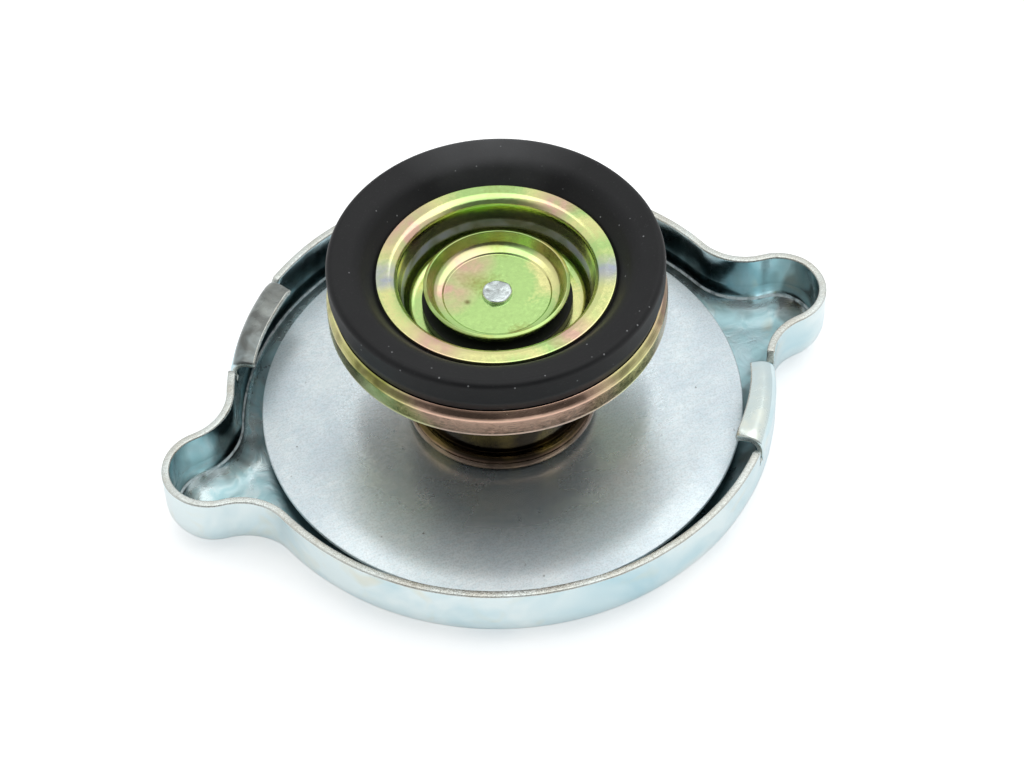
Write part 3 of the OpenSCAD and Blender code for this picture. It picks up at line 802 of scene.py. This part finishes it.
def over_the_edge(outer, inner, edge_r):
    """From the wall's outer face over the sheet's cut edge to its inner face."""
    a, b = outer[-1], inner[-1]
    back = (outer[-2] - a).normalized() * edge_r
    across = (b - a).normalized() * edge_r
    edge = rounded_corner(a + back * 2, a, a + across * 2, edge_r, EDGE_STEPS)
    edge += rounded_corner(b - across * 2, b, b + back * 2, edge_r, EDGE_STEPS)
    outer_side = evenly(outer[:-1] + [a + back], FACE_POINTS)
    inner_side = evenly(inner[:-1] + [b + back], FACE_POINTS)
    return outer_side[:-1] + edge + inner_side[::-1][1:]


def wall_root(s):
    """Height below the notches up to which the wall is the same all round."""
    return s.rim_h - s.notch_h - s.edge_r * 3


def top_of_wall(s, sample, wave):
    """Section of the sheet above the notches, as (depth, height), by the outline's zone."""
    root = wall_root(s)
    inset = s.edge_r if sample.cut else 0.0
    if sample.zone != TAB_ZONE:
        top = s.rim_h + wave - inset if sample.zone in RIM_ZONES else s.rim_h - s.notch_h
        outer = [Vector((0, root)), Vector((inset / 2, top))]
        inner = [Vector((s.sheet_t, root)), Vector((s.sheet_t - inset / 2, top))]
        return over_the_edge(outer, inner, s.edge_r)
    fold_top = s.rim_h + s.tab_rise + sample.climb - inset
    ease = min(1.0, max(0.0, sample.along))
    reach = s.tab_reach - s.tab_taper * (1 - ease * ease * (3 - 2 * ease)) - inset
    drop = s.tab_fall + s.stop_drop * max(0.0, (sample.along - STOP_FROM) / STOP_RUN)
    path = bent_path([(inset, root + s.edge_r), (inset, fold_top, s.tab_fold_r), (reach, fold_top - drop)])
    under = [beside(path, i, inset * 2 - s.sheet_t) for i in range(len(path))]
    return over_the_edge([Vector((0, root))] + path, [Vector((s.sheet_t, root))] + under, s.edge_r)


def shell_ring(s, sample):
    """Closed section of the shell at one point of its outline, from the hole to the rim and back."""
    point, inward = sample.point, sample.inward
    wave = s.rim_wave * noise.noise(Vector((point.x, point.y, 0)) / LONG_WAVE)
    wave += s.rim_wave * 0.5 * noise.noise(Vector((point.x, point.y, 3)) / SHORT_WAVE)
    root = wall_root(s)
    bend = [math.pi / 2 * i / BEND_STEPS for i in range(BEND_STEPS + 1)]
    in_r = s.corner_r - s.sheet_t
    outer = [(s.corner_r * (1 - math.sin(a)), s.corner_r * (1 - math.cos(a))) for a in bend]
    inner = [(s.corner_r - in_r * math.sin(a), s.corner_r - in_r * math.cos(a)) for a in bend]
    outer += [(0, s.corner_r + HOLD), (0, root - HOLD)]
    inner += [(s.sheet_t, s.corner_r + HOLD), (s.sheet_t, root - HOLD)]
    crown = [(p.x, p.y) for p in top_of_wall(s, sample, wave)]
    wall = outer + crown + inner[::-1]
    ring = [(point.x + inward.x * d, point.y + inward.y * d, z) for d, z in wall]
    foot = point + inward * s.corner_r
    below = floor_line(s, foot, 0.0)
    above = floor_line(s, foot, s.sheet_t)
    return below[::-1] + ring + above


def floor_line(s, foot, offset):
    """Line of the floor from the wall's bend to the rivet's hole, on one face of the sheet."""
    joggle_r = s.seat_r + s.recess_h + s.sheet_t
    step_r = s.seat_r + s.recess_h / 2 - s.sheet_t / 2
    path = bent_path([(joggle_r, 0), (step_r, 0, (s.recess_h + s.sheet_t) / 2),
                      (step_r, s.recess_h, (s.recess_h - s.sheet_t) / 2), (s.hole_r, s.recess_h)])
    path = [beside(path, i, -offset) for i in range(len(path))]
    out = foot.normalized()
    edge = out * joggle_r
    line = [(p.x, p.y, offset) for p in (foot.lerp(edge, k) for k in FLOOR_SHARES)]
    return line + [(out.x * p.x, out.y * p.x, p.y) for p in path]


def shell_mesh(s):
    """The whole shell: two halves of the outline, each with its own tab, closed at the cuts."""
    rings = []
    for half, tab_angle in ((0, s.tab_b_angle), (math.pi, s.tab_a_angle)):
        turn = Matrix.Rotation(half, 3, "Z")
        for sample in shell_outline(s, tab_angle):
            rings.append(([turn @ Vector(p) for p in shell_ring(s, sample)], sample))
    count = len(rings[0][0])
    crown_from = len(floor_line(s, Vector((s.wall_r, 0)), 0.0)) + BEND_STEPS + 3
    edge_from = crown_from + FACE_POINTS - 1
    edge_to = edge_from + 2 * EDGE_STEPS + 1
    crown_to = edge_to + FACE_POINTS - 1
    points = [p for ring, _ in rings for p in ring]
    faces = []
    slots = []
    for i, (_, sample) in enumerate(rings):
        here = i * count
        after = (i + 1) % len(rings) * count
        following = rings[(i + 1) % len(rings)][1]
        cut = sample.cut and following.cut and sample.zone != following.zone
        for k in range(count):
            if cut and crown_from <= k < crown_to:
                continue
            nxt = (k + 1) % count
            faces.append((here + k, after + k, after + nxt, here + nxt))
            slots.append(1 if edge_from <= k < edge_to else 0)
        if cut:
            for k in range(crown_from, (crown_from + crown_to) // 2):
                across = crown_from + crown_to - k
                faces.append((here + across, here + across - 1, here + k + 1, here + k))
                faces.append((after + k, after + k + 1, after + across - 1, after + across))
                slots += [1, 1]
    return mesh_object("cap_shell", points, faces, slots)


class CAP_OT_shell(Operator):
    """Build the pressed shell with its ears and locking tabs"""

    bl_idname = "cap.shell"
    bl_label = "Shell"

    def execute(self, context):
        tones = context.scene.cap_colours
        sizes = context.scene.cap_shell
        shell = shell_mesh(sizes)
        turn = Matrix.Rotation(math.pi - sizes.tab_b_angle, 3, "Z")
        worn_tab = turn @ Vector((sizes.wall_r, 0, sizes.rim_h))
        dress(shell, "shell", "shell_zinc", ["outer_shell"],
              bright_zinc("shell_zinc_plate", tones, sizes.sheet_t, sizes.rim_h,
                          sizes.sheet_t + sizes.crease_h, reach_of("spring_disc"), worn_tab),
              trimmed_edge("shell_cut_edge", tones))
        return {"FINISHED"}


# Turned pieces

# Rounding of the cut edges of each sheet
DISC_CUT_R = 0.16 * MM
BELL_CUT_R = 0.1 * MM
CARRIER_CUT_R = 0.12 * MM
RETAINER_CUT_R = 0.14 * MM
DISH_CUT_R = 0.1 * MM
# Radius of the disc's flat bends, and radius from which it is rubbed pale
DISC_BEND_R = 20 * MM
DISC_RUB_R = 28 * MM
# Centre rivet: how much narrower its peened end is than its head, and its roundings
RIVET_PEEN_IN = 0.9 * MM
RIVET_HEAD_ROUND, RIVET_PEEN_ROUND, RIVET_FOOT_ROUND = 0.7 * MM, 0.6 * MM, 0.1 * MM
# The same of the vacuum valve's stem
STEM_PEEN_IN = 0.2 * MM
STEM_HEAD_ROUND, STEM_PEEN_ROUND = 0.3 * MM, 0.25 * MM
STEM_HEAD_FOOT, STEM_PEEN_FOOT = 0.08 * MM, 0.05 * MM
# Straight left between the bead's two bends, and the tight corners above the bead and at the sleeve's lip
BEAD_STRAIGHT = 0.01 * MM
BEAD_CORNER_R, SLEEVE_CORNER_R = 0.08 * MM, 0.05 * MM
# Rounding of the rubber ring's underside, of the rubber washer and of the spring cap
GASKET_UNDER_R = 2 * MM
WASHER_ROUND_R, CAP_ROUND_R = 0.2 * MM, 0.12 * MM
# How far the retainer's neck is turned out at its end
NECK_FOOT_W = 0.9 * MM
# Middle, core and reach of the rubber ring's painted grey reflection, as shares of its radius
SHEEN_MIDDLE, SHEEN_CORE, SHEEN_REACH = 1.45, 0.45, 0.9
# Steps of the smaller turned pieces
RIVET_STEPS = 96
WASHER_STEPS = 192
CAP_STEPS = 144
# Hammer marks on the stem's head, and how far above its foot they begin
DENT_W, DENT_DEPTH, DENT_FROM = 1.1 * MM, 0.09 * MM, 0.1 * MM


def flat_ring(node, bore_r, round_r):
    """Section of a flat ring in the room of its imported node, rounded outside."""
    low, top, outer_r = room_of(node)
    return held(bent_path([(bore_r, low), (outer_r, low, round_r), (outer_r, top, round_r), (bore_r, top)]))


class CAP_OT_disc(Operator):
    """Build the spring disc that lies in the shell"""

    bl_idname = "cap.disc"
    bl_label = "Spring disc"

    def execute(self, context):
        v = context.scene.cap_valve
        shell = context.scene.cap_shell
        low, top, edge_r = room_of("spring_disc")
        high = top - v.disc_t
        section = sheet_section([(shell.hole_r, low), (shell.seat_r, low, DISC_BEND_R),
                                 (v.disc_band_r, high, DISC_BEND_R),
                                 (edge_r - v.disc_edge_w, high, DISC_BEND_R),
                                 (edge_r, high - v.disc_edge_fall)], v.disc_t, DISC_CUT_R)
        dress(lathe("spring_disc_sheet", section), "swivel", "disc_zinc", ["spring_disc"],
              satin_zinc("disc_satin_zinc", context.scene.cap_colours, DISC_RUB_R))
        return {"FINISHED"}


class CAP_OT_rivet(Operator):
    """Build the centre rivet that the valve swivels on"""

    bl_idname = "cap.rivet"
    bl_label = "Centre rivet"

    def execute(self, context):
        tones = context.scene.cap_colours
        shell = context.scene.cap_shell
        v = context.scene.cap_valve
        low, high, head_r = room_of("centre_rivet")
        shank_r = shell.hole_r - v.hole_gap
        bell_floor = bottom_of("bell_housing") + v.bell_t
        peen_r = head_r - RIVET_PEEN_IN
        section = solid_section([(0, low), (head_r, low, RIVET_HEAD_ROUND),
                                 (head_r, shell.recess_h, RIVET_FOOT_ROUND),
                                 (shank_r, shell.recess_h), (shank_r, bell_floor),
                                 (peen_r, bell_floor, RIVET_FOOT_ROUND),
                                 (peen_r, high, RIVET_PEEN_ROUND), (0, high)])
        dress(lathe("centre_rivet_turned", section, RIVET_STEPS), "swivel", "rivet_steel", ["centre_rivet"],
              bare_steel("rivet_peened_steel", tones.rivet, tones.wire, roughness=0.3))
        return {"FINISHED"}


class CAP_OT_bell(Operator):
    """Build the bell housing on the disc and the guide sleeve that slides in it"""

    bl_idname = "cap.bell"
    bl_label = "Bell and sleeve"

    def execute(self, context):
        v = context.scene.cap_valve
        shell = context.scene.cap_shell
        tones = context.scene.cap_colours
        foot, mouth, bead_r = room_of("bell_housing")
        bead_bend = v.bead_h / 2 - BEAD_STRAIGHT
        section = sheet_section([(shell.hole_r, foot), (bead_r, foot, bead_bend),
                                 (bead_r, foot + v.bead_h, bead_bend),
                                 (v.bell_r, foot + v.bead_h, BEAD_CORNER_R),
                                 (v.bell_r, mouth, 1.5 * v.bell_t),
                                 (v.sleeve_r + v.slide_gap, mouth)], v.bell_t, BELL_CUT_R)
        # Dark tones that paint the bell's dark reflections of the shaded disc; the sleeve shares this finish
        stops = ((0.3, tones.bronze), (0.44, tones.umber_shade), (0.6, tones.umber_shade), (0.72, tones.bronze))
        # A painted highlight along the top of the bead
        bead = Band(foot + 0.45 * v.bead_h, foot + 0.75 * v.bead_h, soft=0.3 * MM, strength=0.4, film=0.0,
                    shade=tones.rose)
        finish = yellow_zinc("bell_yellow_zinc", stops, patch=11 * MM, roughness=0.12, bands=[bead])
        dress(lathe("bell_drawn_cup", section), "swivel", "yellow_zinc", ["bell_housing"], finish)
        low, high, lip_r = room_of("guide_sleeve")
        section = sheet_section([(lip_r, low + v.sleeve_t),
                                 (v.sleeve_r, low + v.sleeve_t, SLEEVE_CORNER_R),
                                 (v.sleeve_r, high, 2 * v.sleeve_t),
                                 (v.neck_r + v.hole_gap, high)], v.sleeve_t, BELL_CUT_R)
        dress(lathe("guide_sleeve_tube", section), "pressure_valve", "yellow_zinc", ["guide_sleeve"],
              finish)
        return {"FINISHED"}


class CAP_OT_carrier(Operator):
    """Build the carrier with its rolled rim"""

    bl_idname = "cap.carrier"
    bl_label = "Valve carrier"

    def execute(self, context):
        v = context.scene.cap_valve
        tones = context.scene.cap_colours
        low, top, rim_r = room_of("valve_carrier")
        section = sheet_section([(v.neck_r + v.hole_gap, low), (rim_r, low, 2 * v.carrier_t),
                                 (rim_r, low + v.carrier_wall_h, 2 * v.carrier_t),
                                 (rim_r - v.carrier_lip_in, top)], v.carrier_t, CARRIER_CUT_R)
        stops = ((0.28, tones.olive), (0.4, tones.straw), (0.5, tones.rose), (0.62, tones.rose),
                 (0.76, tones.olive))
        stains = stains_round(rim_r, top, (
            (-25, 15, tones.rose), (-62, 7, tones.straw), (-95, 12, tones.rose), (175, 13, tones.straw),
            (-158, 8, tones.olive), (-128, 6, tones.rose)))
        # Painted shade: the underside that faces the disc is painted dull grey
        under = Band(0.0, low + 0.4 * MM, soft=0.3 * MM, strength=0.8, film=0.0, shade=tones.zinc_dull_and_shade)
        # Painted dark reflection on the lip that leans in over the wall
        leaning_shade = Band(low + v.carrier_wall_h, top - 0.3 * MM, soft=0.2 * MM, strength=0.7, film=0.0,
                       shade=tones.umber_shade)
        dress(lathe("carrier_rolled_dish", section), "pressure_valve", "yellow_zinc", ["valve_carrier"],
              yellow_zinc("carrier_yellow_zinc", stops, patch=15 * MM, roughness=0.2, stains=stains,
                          bands=[leaning_shade, under]))
        return {"FINISHED"}


class CAP_OT_gasket(Operator):
    """Build the thick rubber ring of the pressure valve"""

    bl_idname = "cap.gasket"
    bl_label = "Rubber ring"

    def execute(self, context):
        v = context.scene.cap_valve
        low, clamp_z = bottom_of("pressure_gasket"), top_of("gasket_retainer") - v.retainer_t
        edge_r = reach_of("pressure_gasket")
        lip_r = reach_of("valve_carrier") - v.carrier_lip_in
        lip_z = top_of("valve_carrier") + v.rubber_gap
        neck_r = lip_r - v.carrier_t - v.rubber_gap
        bore_r = v.well_r + v.well_round_r + v.rubber_gap
        flange_r = reach_of("gasket_retainer") + v.rubber_gap
        crown_r = flange_r + v.gasket_crown_in * (edge_r - flange_r)
        crown_z = clamp_z + v.gasket_crown_up * v.gasket_rise
        outline = bent_path([(bore_r, low), (neck_r - v.rubber_gap, low), (neck_r, lip_z),
                             (lip_r - v.rubber_gap, lip_z), (edge_r, clamp_z, GASKET_UNDER_R),
                             (edge_r, clamp_z + v.gasket_rise, v.gasket_round_r),
                             (crown_r, crown_z, v.gasket_crown_r), (flange_r, clamp_z), (bore_r, clamp_z)])
        # Spot of painted grey reflection beyond the ring's back edge
        middle = SHEEN_MIDDLE * edge_r
        spot = (middle * math.cos(v.painted_sheen_angle), middle * math.sin(v.painted_sheen_angle), clamp_z + v.gasket_rise)
        painted_sheen = (spot, SHEEN_CORE * edge_r, SHEEN_REACH * edge_r)
        dress(lathe("rubber_ring", held(outline)), "pressure_valve", "black_rubber",
              ["pressure_gasket"], black_rubber("ring_black_rubber", context.scene.cap_colours, painted_sheen))
        return {"FINISHED"}


class CAP_OT_retainer(Operator):
    """Build the pressed eyelet that clamps the rubber ring"""

    bl_idname = "cap.retainer"
    bl_label = "Retainer"

    def execute(self, context):
        v = context.scene.cap_valve
        tones = context.scene.cap_colours
        low, top, flange_r = room_of("gasket_retainer")
        floor_z = bottom_of("vacuum_gasket")
        bend_r = 1.4 * v.retainer_t
        bore_r = v.neck_r - v.retainer_t
        section = sheet_section([(flange_r, top), (v.well_r, top, v.well_round_r),
                                 (v.well_floor_r, floor_z, v.well_foot_r), (bore_r, floor_z, bend_r),
                                 (bore_r, low, bend_r), (v.neck_r + NECK_FOOT_W, low)],
                                v.retainer_t, RETAINER_CUT_R)
        stops = ((0.3, tones.olive), (0.4, tones.lime), (0.5, tones.straw), (0.6, tones.lime),
                 (0.7, tones.straw))
        stains = stains_round((flange_r + v.well_r) / 2, top, (
            (125, 6, tones.rose), (160, 3, tones.violet), (-140, 6, tones.rose), (-22, 3, tones.violet),
            (-48, 7, tones.straw), (-70, 3.5, tones.rose), (-118, 5, tones.straw), (35, 3.5, tones.rose),
            (75, 5, tones.lime)))
        # Painted dark reflection on the well's wall
        well = Band(floor_z + 3.2 * MM, top - 1.8 * MM, soft=0.4 * MM, strength=0.8, film=0.3,
                    shade=tones.well)
        # Painted reflection of the sky in the bend at the well's foot
        foot = Band(floor_z + 1.8 * MM, floor_z + 2.6 * MM, soft=0.4 * MM, strength=0.85, film=0.8,
                    shade=tones.violet)
        dress(lathe("retainer_eyelet", section), "pressure_valve", "yellow_zinc", ["gasket_retainer"],
              yellow_zinc("retainer_yellow_zinc", stops, patch=13 * MM, roughness=0.17, stains=stains,
                          bands=[well, foot]))
        return {"FINISHED"}


class CAP_OT_vacuum_valve(Operator):
    """Build the vacuum valve: dish, rubber washer, stem and spring cap"""

    bl_idname = "cap.vacuum_valve"
    bl_label = "Vacuum valve"

    def execute(self, context):
        v = context.scene.cap_valve
        tones = context.scene.cap_colours
        self.dish(v, tones)
        self.washer(v, tones)
        self.stem(v, tones)
        self.spring_cap(v, tones)
        return {"FINISHED"}

    def dish(self, v, tones):
        low, top, rim_r = room_of("vacuum_dish")
        floor_r = v.dish_floor_r + v.dish_t / 2
        ledge = low + v.dish_step_h
        section = sheet_section([(rim_r, top),
                                 ((rim_r + floor_r) / 2 + v.dish_t / 2, ledge + v.dish_step_h, 3 * v.dish_t),
                                 (floor_r + v.dish_step_h, ledge), (floor_r, low),
                                 (v.stem_r + v.hole_gap, low)], -v.dish_t, DISH_CUT_R)
        stops = ((0.3, tones.olive), (0.4, tones.lime), (0.54, tones.lime), (0.62, tones.straw))
        floor_z = low + v.dish_t
        stains = [Stain((-5.6 * MM, 2.4 * MM, floor_z), 1 * MM, 4 * MM, tones.rose),
                  Stain((-1.5 * MM, 6.4 * MM, floor_z), 1 * MM, 4 * MM, tones.rose),
                  Stain((-3.9 * MM, 0.1 * MM, floor_z), 0.1 * MM, 0.55 * MM, tones.bronze)]
        wall = Band(ledge + v.dish_t + 0.5 * MM, top, soft=0.5 * MM, strength=0.5, film=0.0,
                    shade=tones.bronze)
        dress(lathe("vacuum_saucer", section), "vacuum_valve", "yellow_zinc", ["vacuum_dish"],
              yellow_zinc("saucer_yellow_zinc", stops, patch=10 * MM, roughness=0.2, stains=stains,
                          bands=[wall]))

    def washer(self, v, tones):
        section = flat_ring("vacuum_gasket", v.stem_r + v.hole_gap, WASHER_ROUND_R)
        dress(lathe("rubber_washer", section, WASHER_STEPS), "vacuum_valve", "black_rubber",
              ["vacuum_gasket"], black_rubber("washer_black_rubber", tones))

    def stem(self, v, tones):
        low, top, head_r = room_of("vacuum_stem")
        head_z = top - v.stem_head_h
        peen_r = head_r - STEM_PEEN_IN
        peen_z = bottom_of("vacuum_spring_cap")
        section = solid_section([(0, low), (peen_r, low, STEM_PEEN_ROUND), (peen_r, peen_z, STEM_PEEN_FOOT),
                                 (v.stem_r, peen_z), (v.stem_r, head_z),
                                 (head_r, head_z, STEM_HEAD_FOOT), (head_r, top, STEM_HEAD_ROUND), (0, top)])

        def hammered(turn, r, z):
            spot = Vector((r * math.cos(turn), r * math.sin(turn), z)) / DENT_W
            dent = DENT_DEPTH * noise.noise(spot)
            return r + dent * min(1.0, r / head_r), z + (dent if z > head_z + DENT_FROM else 0.0)

        dress(lathe("vacuum_stem_rivet", section, RIVET_STEPS, hammered), "vacuum_valve", "rivet_steel",
              ["vacuum_stem"], bare_steel("stem_peened_steel", tones.rivet, tones.wire, roughness=0.26))

    def spring_cap(self, v, tones):
        section = flat_ring("vacuum_spring_cap", v.stem_r + v.hole_gap, CAP_ROUND_R)
        stops = ((0.35, tones.olive), (0.5, tones.straw), (0.65, tones.lime))
        dress(lathe("spring_cap_washer", section, CAP_STEPS), "vacuum_valve", "yellow_zinc",
              ["vacuum_spring_cap"],
              yellow_zinc("spring_cap_yellow_zinc", stops, patch=4 * MM, roughness=0.22))


# Springs

WIRE_SIDES = 14
STEPS_PER_TURN = 64


def coil(name, node, wire_d, turns):
    """A spring of round wire whose end turns lie flat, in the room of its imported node."""
    low, top, outer_r = room_of(node)
    rise = top - low - wire_d
    mean_r = outer_r - wire_d / 2
    steps = int(turns * STEPS_PER_TURN)
    open_pitch = (rise - 2 * wire_d) / (turns - 2)
    points = []
    for i in range(steps + 1):
        t = turns * i / steps
        climb = wire_d + (t - 1) * open_pitch
        if t < 1:
            climb = t * wire_d
        elif t > turns - 1:
            climb = rise - (turns - t) * wire_d
        for k in range(WIRE_SIDES):
            side = 2 * math.pi * k / WIRE_SIDES
            r = mean_r + wire_d / 2 * math.cos(side)
            turn = 2 * math.pi * t
            z = low + wire_d / 2 + climb + wire_d / 2 * math.sin(side)
            points.append((r * math.cos(turn), r * math.sin(turn), z))
    faces = [list(range(WIRE_SIDES)), [steps * WIRE_SIDES + k for k in range(WIRE_SIDES)]]
    for i in range(steps):
        for k in range(WIRE_SIDES):
            here, nxt = i * WIRE_SIDES, (k + 1) % WIRE_SIDES
            faces.append((here + k, here + nxt, here + WIRE_SIDES + nxt, here + WIRE_SIDES + k))
    return mesh_object(name, points, faces)


class CAP_OT_springs(Operator):
    """Build the pressure spring and the vacuum spring, each on a mesh of its own"""

    bl_idname = "cap.springs"
    bl_label = "Springs"

    def execute(self, context):
        v = context.scene.cap_valve
        tones = context.scene.cap_colours
        finish = bare_steel("spring_oiled_wire", tones.wire, tones.rubber, roughness=0.3)
        strong = coil("pressure_spring_coil", "pressure_spring", v.spring_wire, v.spring_turns)
        dress(strong, "swivel", "spring_steel", ["pressure_spring"], finish)
        self.shorten(strong, "pressure_spring", "pressure_slide", bottom_of("pressure_spring"))
        light = coil("vacuum_spring_coil", "vacuum_spring", v.vac_wire, v.vac_turns)
        dress(light, "pressure_valve", "spring_steel", ["vacuum_spring"], finish)
        self.shorten(light, "vacuum_spring", "vacuum_slide", top_of("vacuum_spring"))
        return {"FINISHED"}

    def shorten(self, thing, node, joint, still_z):
        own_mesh(thing)


# Studio

class CAP_OT_stage(Operator):
    """Set up the floor, the light and the camera"""

    bl_idname = "cap.stage"
    bl_label = "Studio"

    def execute(self, context):
        studio = context.scene.cap_studio
        self.floor(studio)
        self.surround(context.scene, studio)
        self.softbox(studio)
        self.camera(context.scene, studio)
        context.scene.view_settings.view_transform = "Standard"
        return {"FINISHED"}

    def floor(self, studio):
        bpy.ops.mesh.primitive_circle_add(vertices=FLOOR_SIDES, radius=studio.floor_r, fill_type="NGON")
        floor = bpy.context.object
        floor.name = "studio_floor"
        floor.location.z = -FLOOR_GAP
        t = NodeTree(bpy.data.materials.new("studio_floor_pale"))
        t.nodes.remove(t.only("BSDF_PRINCIPLED"))
        ray = t.add("ShaderNodeLightPath", {}).outputs
        mirrored = t.times(ray["Is Glossy Ray"], studio.mirror_lift)
        lift = t.add("ShaderNodeMath", {0: ray["Is Camera Ray"], 1: studio.floor_lift, 2: mirrored},
                     operation="MULTIPLY_ADD").outputs[0]
        matt = t.add("ShaderNodeBsdfDiffuse", {"Color": rgba(studio.floor)}).outputs[0]
        glow = t.add("ShaderNodeEmission", {"Strength": lift}).outputs[0]
        both = t.add("ShaderNodeAddShader", {0: matt, 1: glow}).outputs[0]
        t.links.new(both, t.only("OUTPUT_MATERIAL").inputs["Surface"])
        floor.data.materials.append(t.block)

    def surround(self, scene, studio):
        scene.world = bpy.data.worlds.new("studio_surround")
        t = NodeTree(scene.world)
        front = Vector((math.sin(studio.azimuth), -math.cos(studio.azimuth), FRONT_RISE)).normalized()
        direction = t.add("ShaderNodeTexCoord", {}).outputs["Generated"]
        towards = t.add("ShaderNodeVectorMath", {0: direction, 1: front}, operation="DOT_PRODUCT")
        fall = t.add("ShaderNodeMapRange", {
            "Value": towards.outputs["Value"], "From Min": FRONT_FROM, "From Max": FRONT_TO,
            "To Min": 1.0, "To Max": FRONT_LEFT}, interpolation_type="SMOOTHSTEP").outputs[0]
        light = t.only("BACKGROUND")
        light.inputs["Strength"].default_value = studio.sky
        t.links.new(fall, light.inputs["Color"])
        white = t.add("ShaderNodeBackground", {"Color": (1.0, 1.0, 1.0, 1.0)}).outputs[0]
        seen = t.add("ShaderNodeLightPath", {}).outputs["Is Camera Ray"]
        both = t.add("ShaderNodeMixShader", {0: seen, 1: light.outputs[0], 2: white}).outputs[0]
        t.links.new(both, t.only("OUTPUT_WORLD").inputs["Surface"])

    def softbox(self, studio):
        data = bpy.data.lights.new("studio_softbox", "AREA")
        data.shape = "RECTANGLE"
        data.size, data.size_y = SOFTBOX_W, SOFTBOX_D
        data.energy = studio.lamp
        lamp = bpy.data.objects.new("studio_softbox", data)
        lamp.location = SOFTBOX_PLACE
        lamp.rotation_euler = (Vector(SOFTBOX_AIM) - lamp.location).to_track_quat("-Z", "Y").to_euler()
        bpy.context.scene.collection.objects.link(lamp)

    def camera(self, scene, studio):
        data = bpy.data.cameras.new("studio_camera")
        camera = bpy.data.objects.new("studio_camera", data)
        scene.collection.objects.link(camera)
        data.sensor_width = SENSOR_MM
        data.lens = SENSOR_MM * studio.focal / PICTURE_W
        data.clip_start, data.clip_end = CLIP_START, CLIP_END
        a, e = studio.azimuth, studio.elevation
        right = Vector((math.cos(a), math.sin(a), 0))
        away = Vector((-math.sin(a), math.cos(a), 0))
        forward = away * math.cos(e) - Vector((0, 0, math.sin(e)))
        up = right.cross(forward)
        across = (studio.target_u - PICTURE_W / 2) / studio.focal
        lift = -(studio.target_v - PICTURE_H / 2) / studio.focal
        target = Vector((0, 0, top_of("spring_disc")))
        place = target - (right * across + up * lift + forward) * studio.distance
        x_axis = right * math.cos(studio.roll) - up * math.sin(studio.roll)
        y_axis = right * math.sin(studio.roll) + up * math.cos(studio.roll)
        turn = Matrix((x_axis, y_axis, -forward)).transposed()
        camera.matrix_world = Matrix.Translation(place) @ turn.to_4x4()
        scene.camera = camera


class CAP_PT_sidebar(Panel):
    """Lists the steps that build the cap"""

    bl_idname = "CAP_PT_sidebar"
    bl_label = "Radiator cap"
    bl_space_type = "VIEW_3D"
    bl_region_type = "UI"
    bl_category = "Cap"

    def draw(self, context):
        for step in STEPS:
            self.layout.operator(step.bl_idname)


GROUPS = {"cap_shell": CapShellSizes, "cap_valve": CapValveSizes,
          "cap_colours": CapColours, "cap_studio": CapStudio}
STEPS = (CAP_OT_shell, CAP_OT_disc, CAP_OT_rivet, CAP_OT_bell, CAP_OT_carrier, CAP_OT_gasket,
         CAP_OT_retainer, CAP_OT_vacuum_valve, CAP_OT_springs, CAP_OT_stage)


def register():
    """Makes the sizes, steps and panel known to Blender."""
    for name, group in GROUPS.items():
        bpy.utils.register_class(group)
        setattr(bpy.types.Scene, name, PointerProperty(type=group))
    for step in STEPS:
        bpy.utils.register_class(step)
    bpy.utils.register_class(CAP_PT_sidebar)


def unregister():
    """Takes the panel, steps and sizes away again."""
    bpy.utils.unregister_class(CAP_PT_sidebar)
    for step in reversed(STEPS):
        bpy.utils.unregister_class(step)
    for name, group in reversed(GROUPS.items()):
        delattr(bpy.types.Scene, name)
        bpy.utils.unregister_class(group)


def main():
    """Builds the cap and its studio."""
    register()
    bpy.ops.cap.shell()
    bpy.ops.cap.disc()
    bpy.ops.cap.rivet()
    bpy.ops.cap.bell()
    bpy.ops.cap.carrier()
    bpy.ops.cap.gasket()
    bpy.ops.cap.retainer()
    bpy.ops.cap.vacuum_valve()
    bpy.ops.cap.springs()
    bpy.ops.cap.stage()


if __name__ == "__main__":
    main()
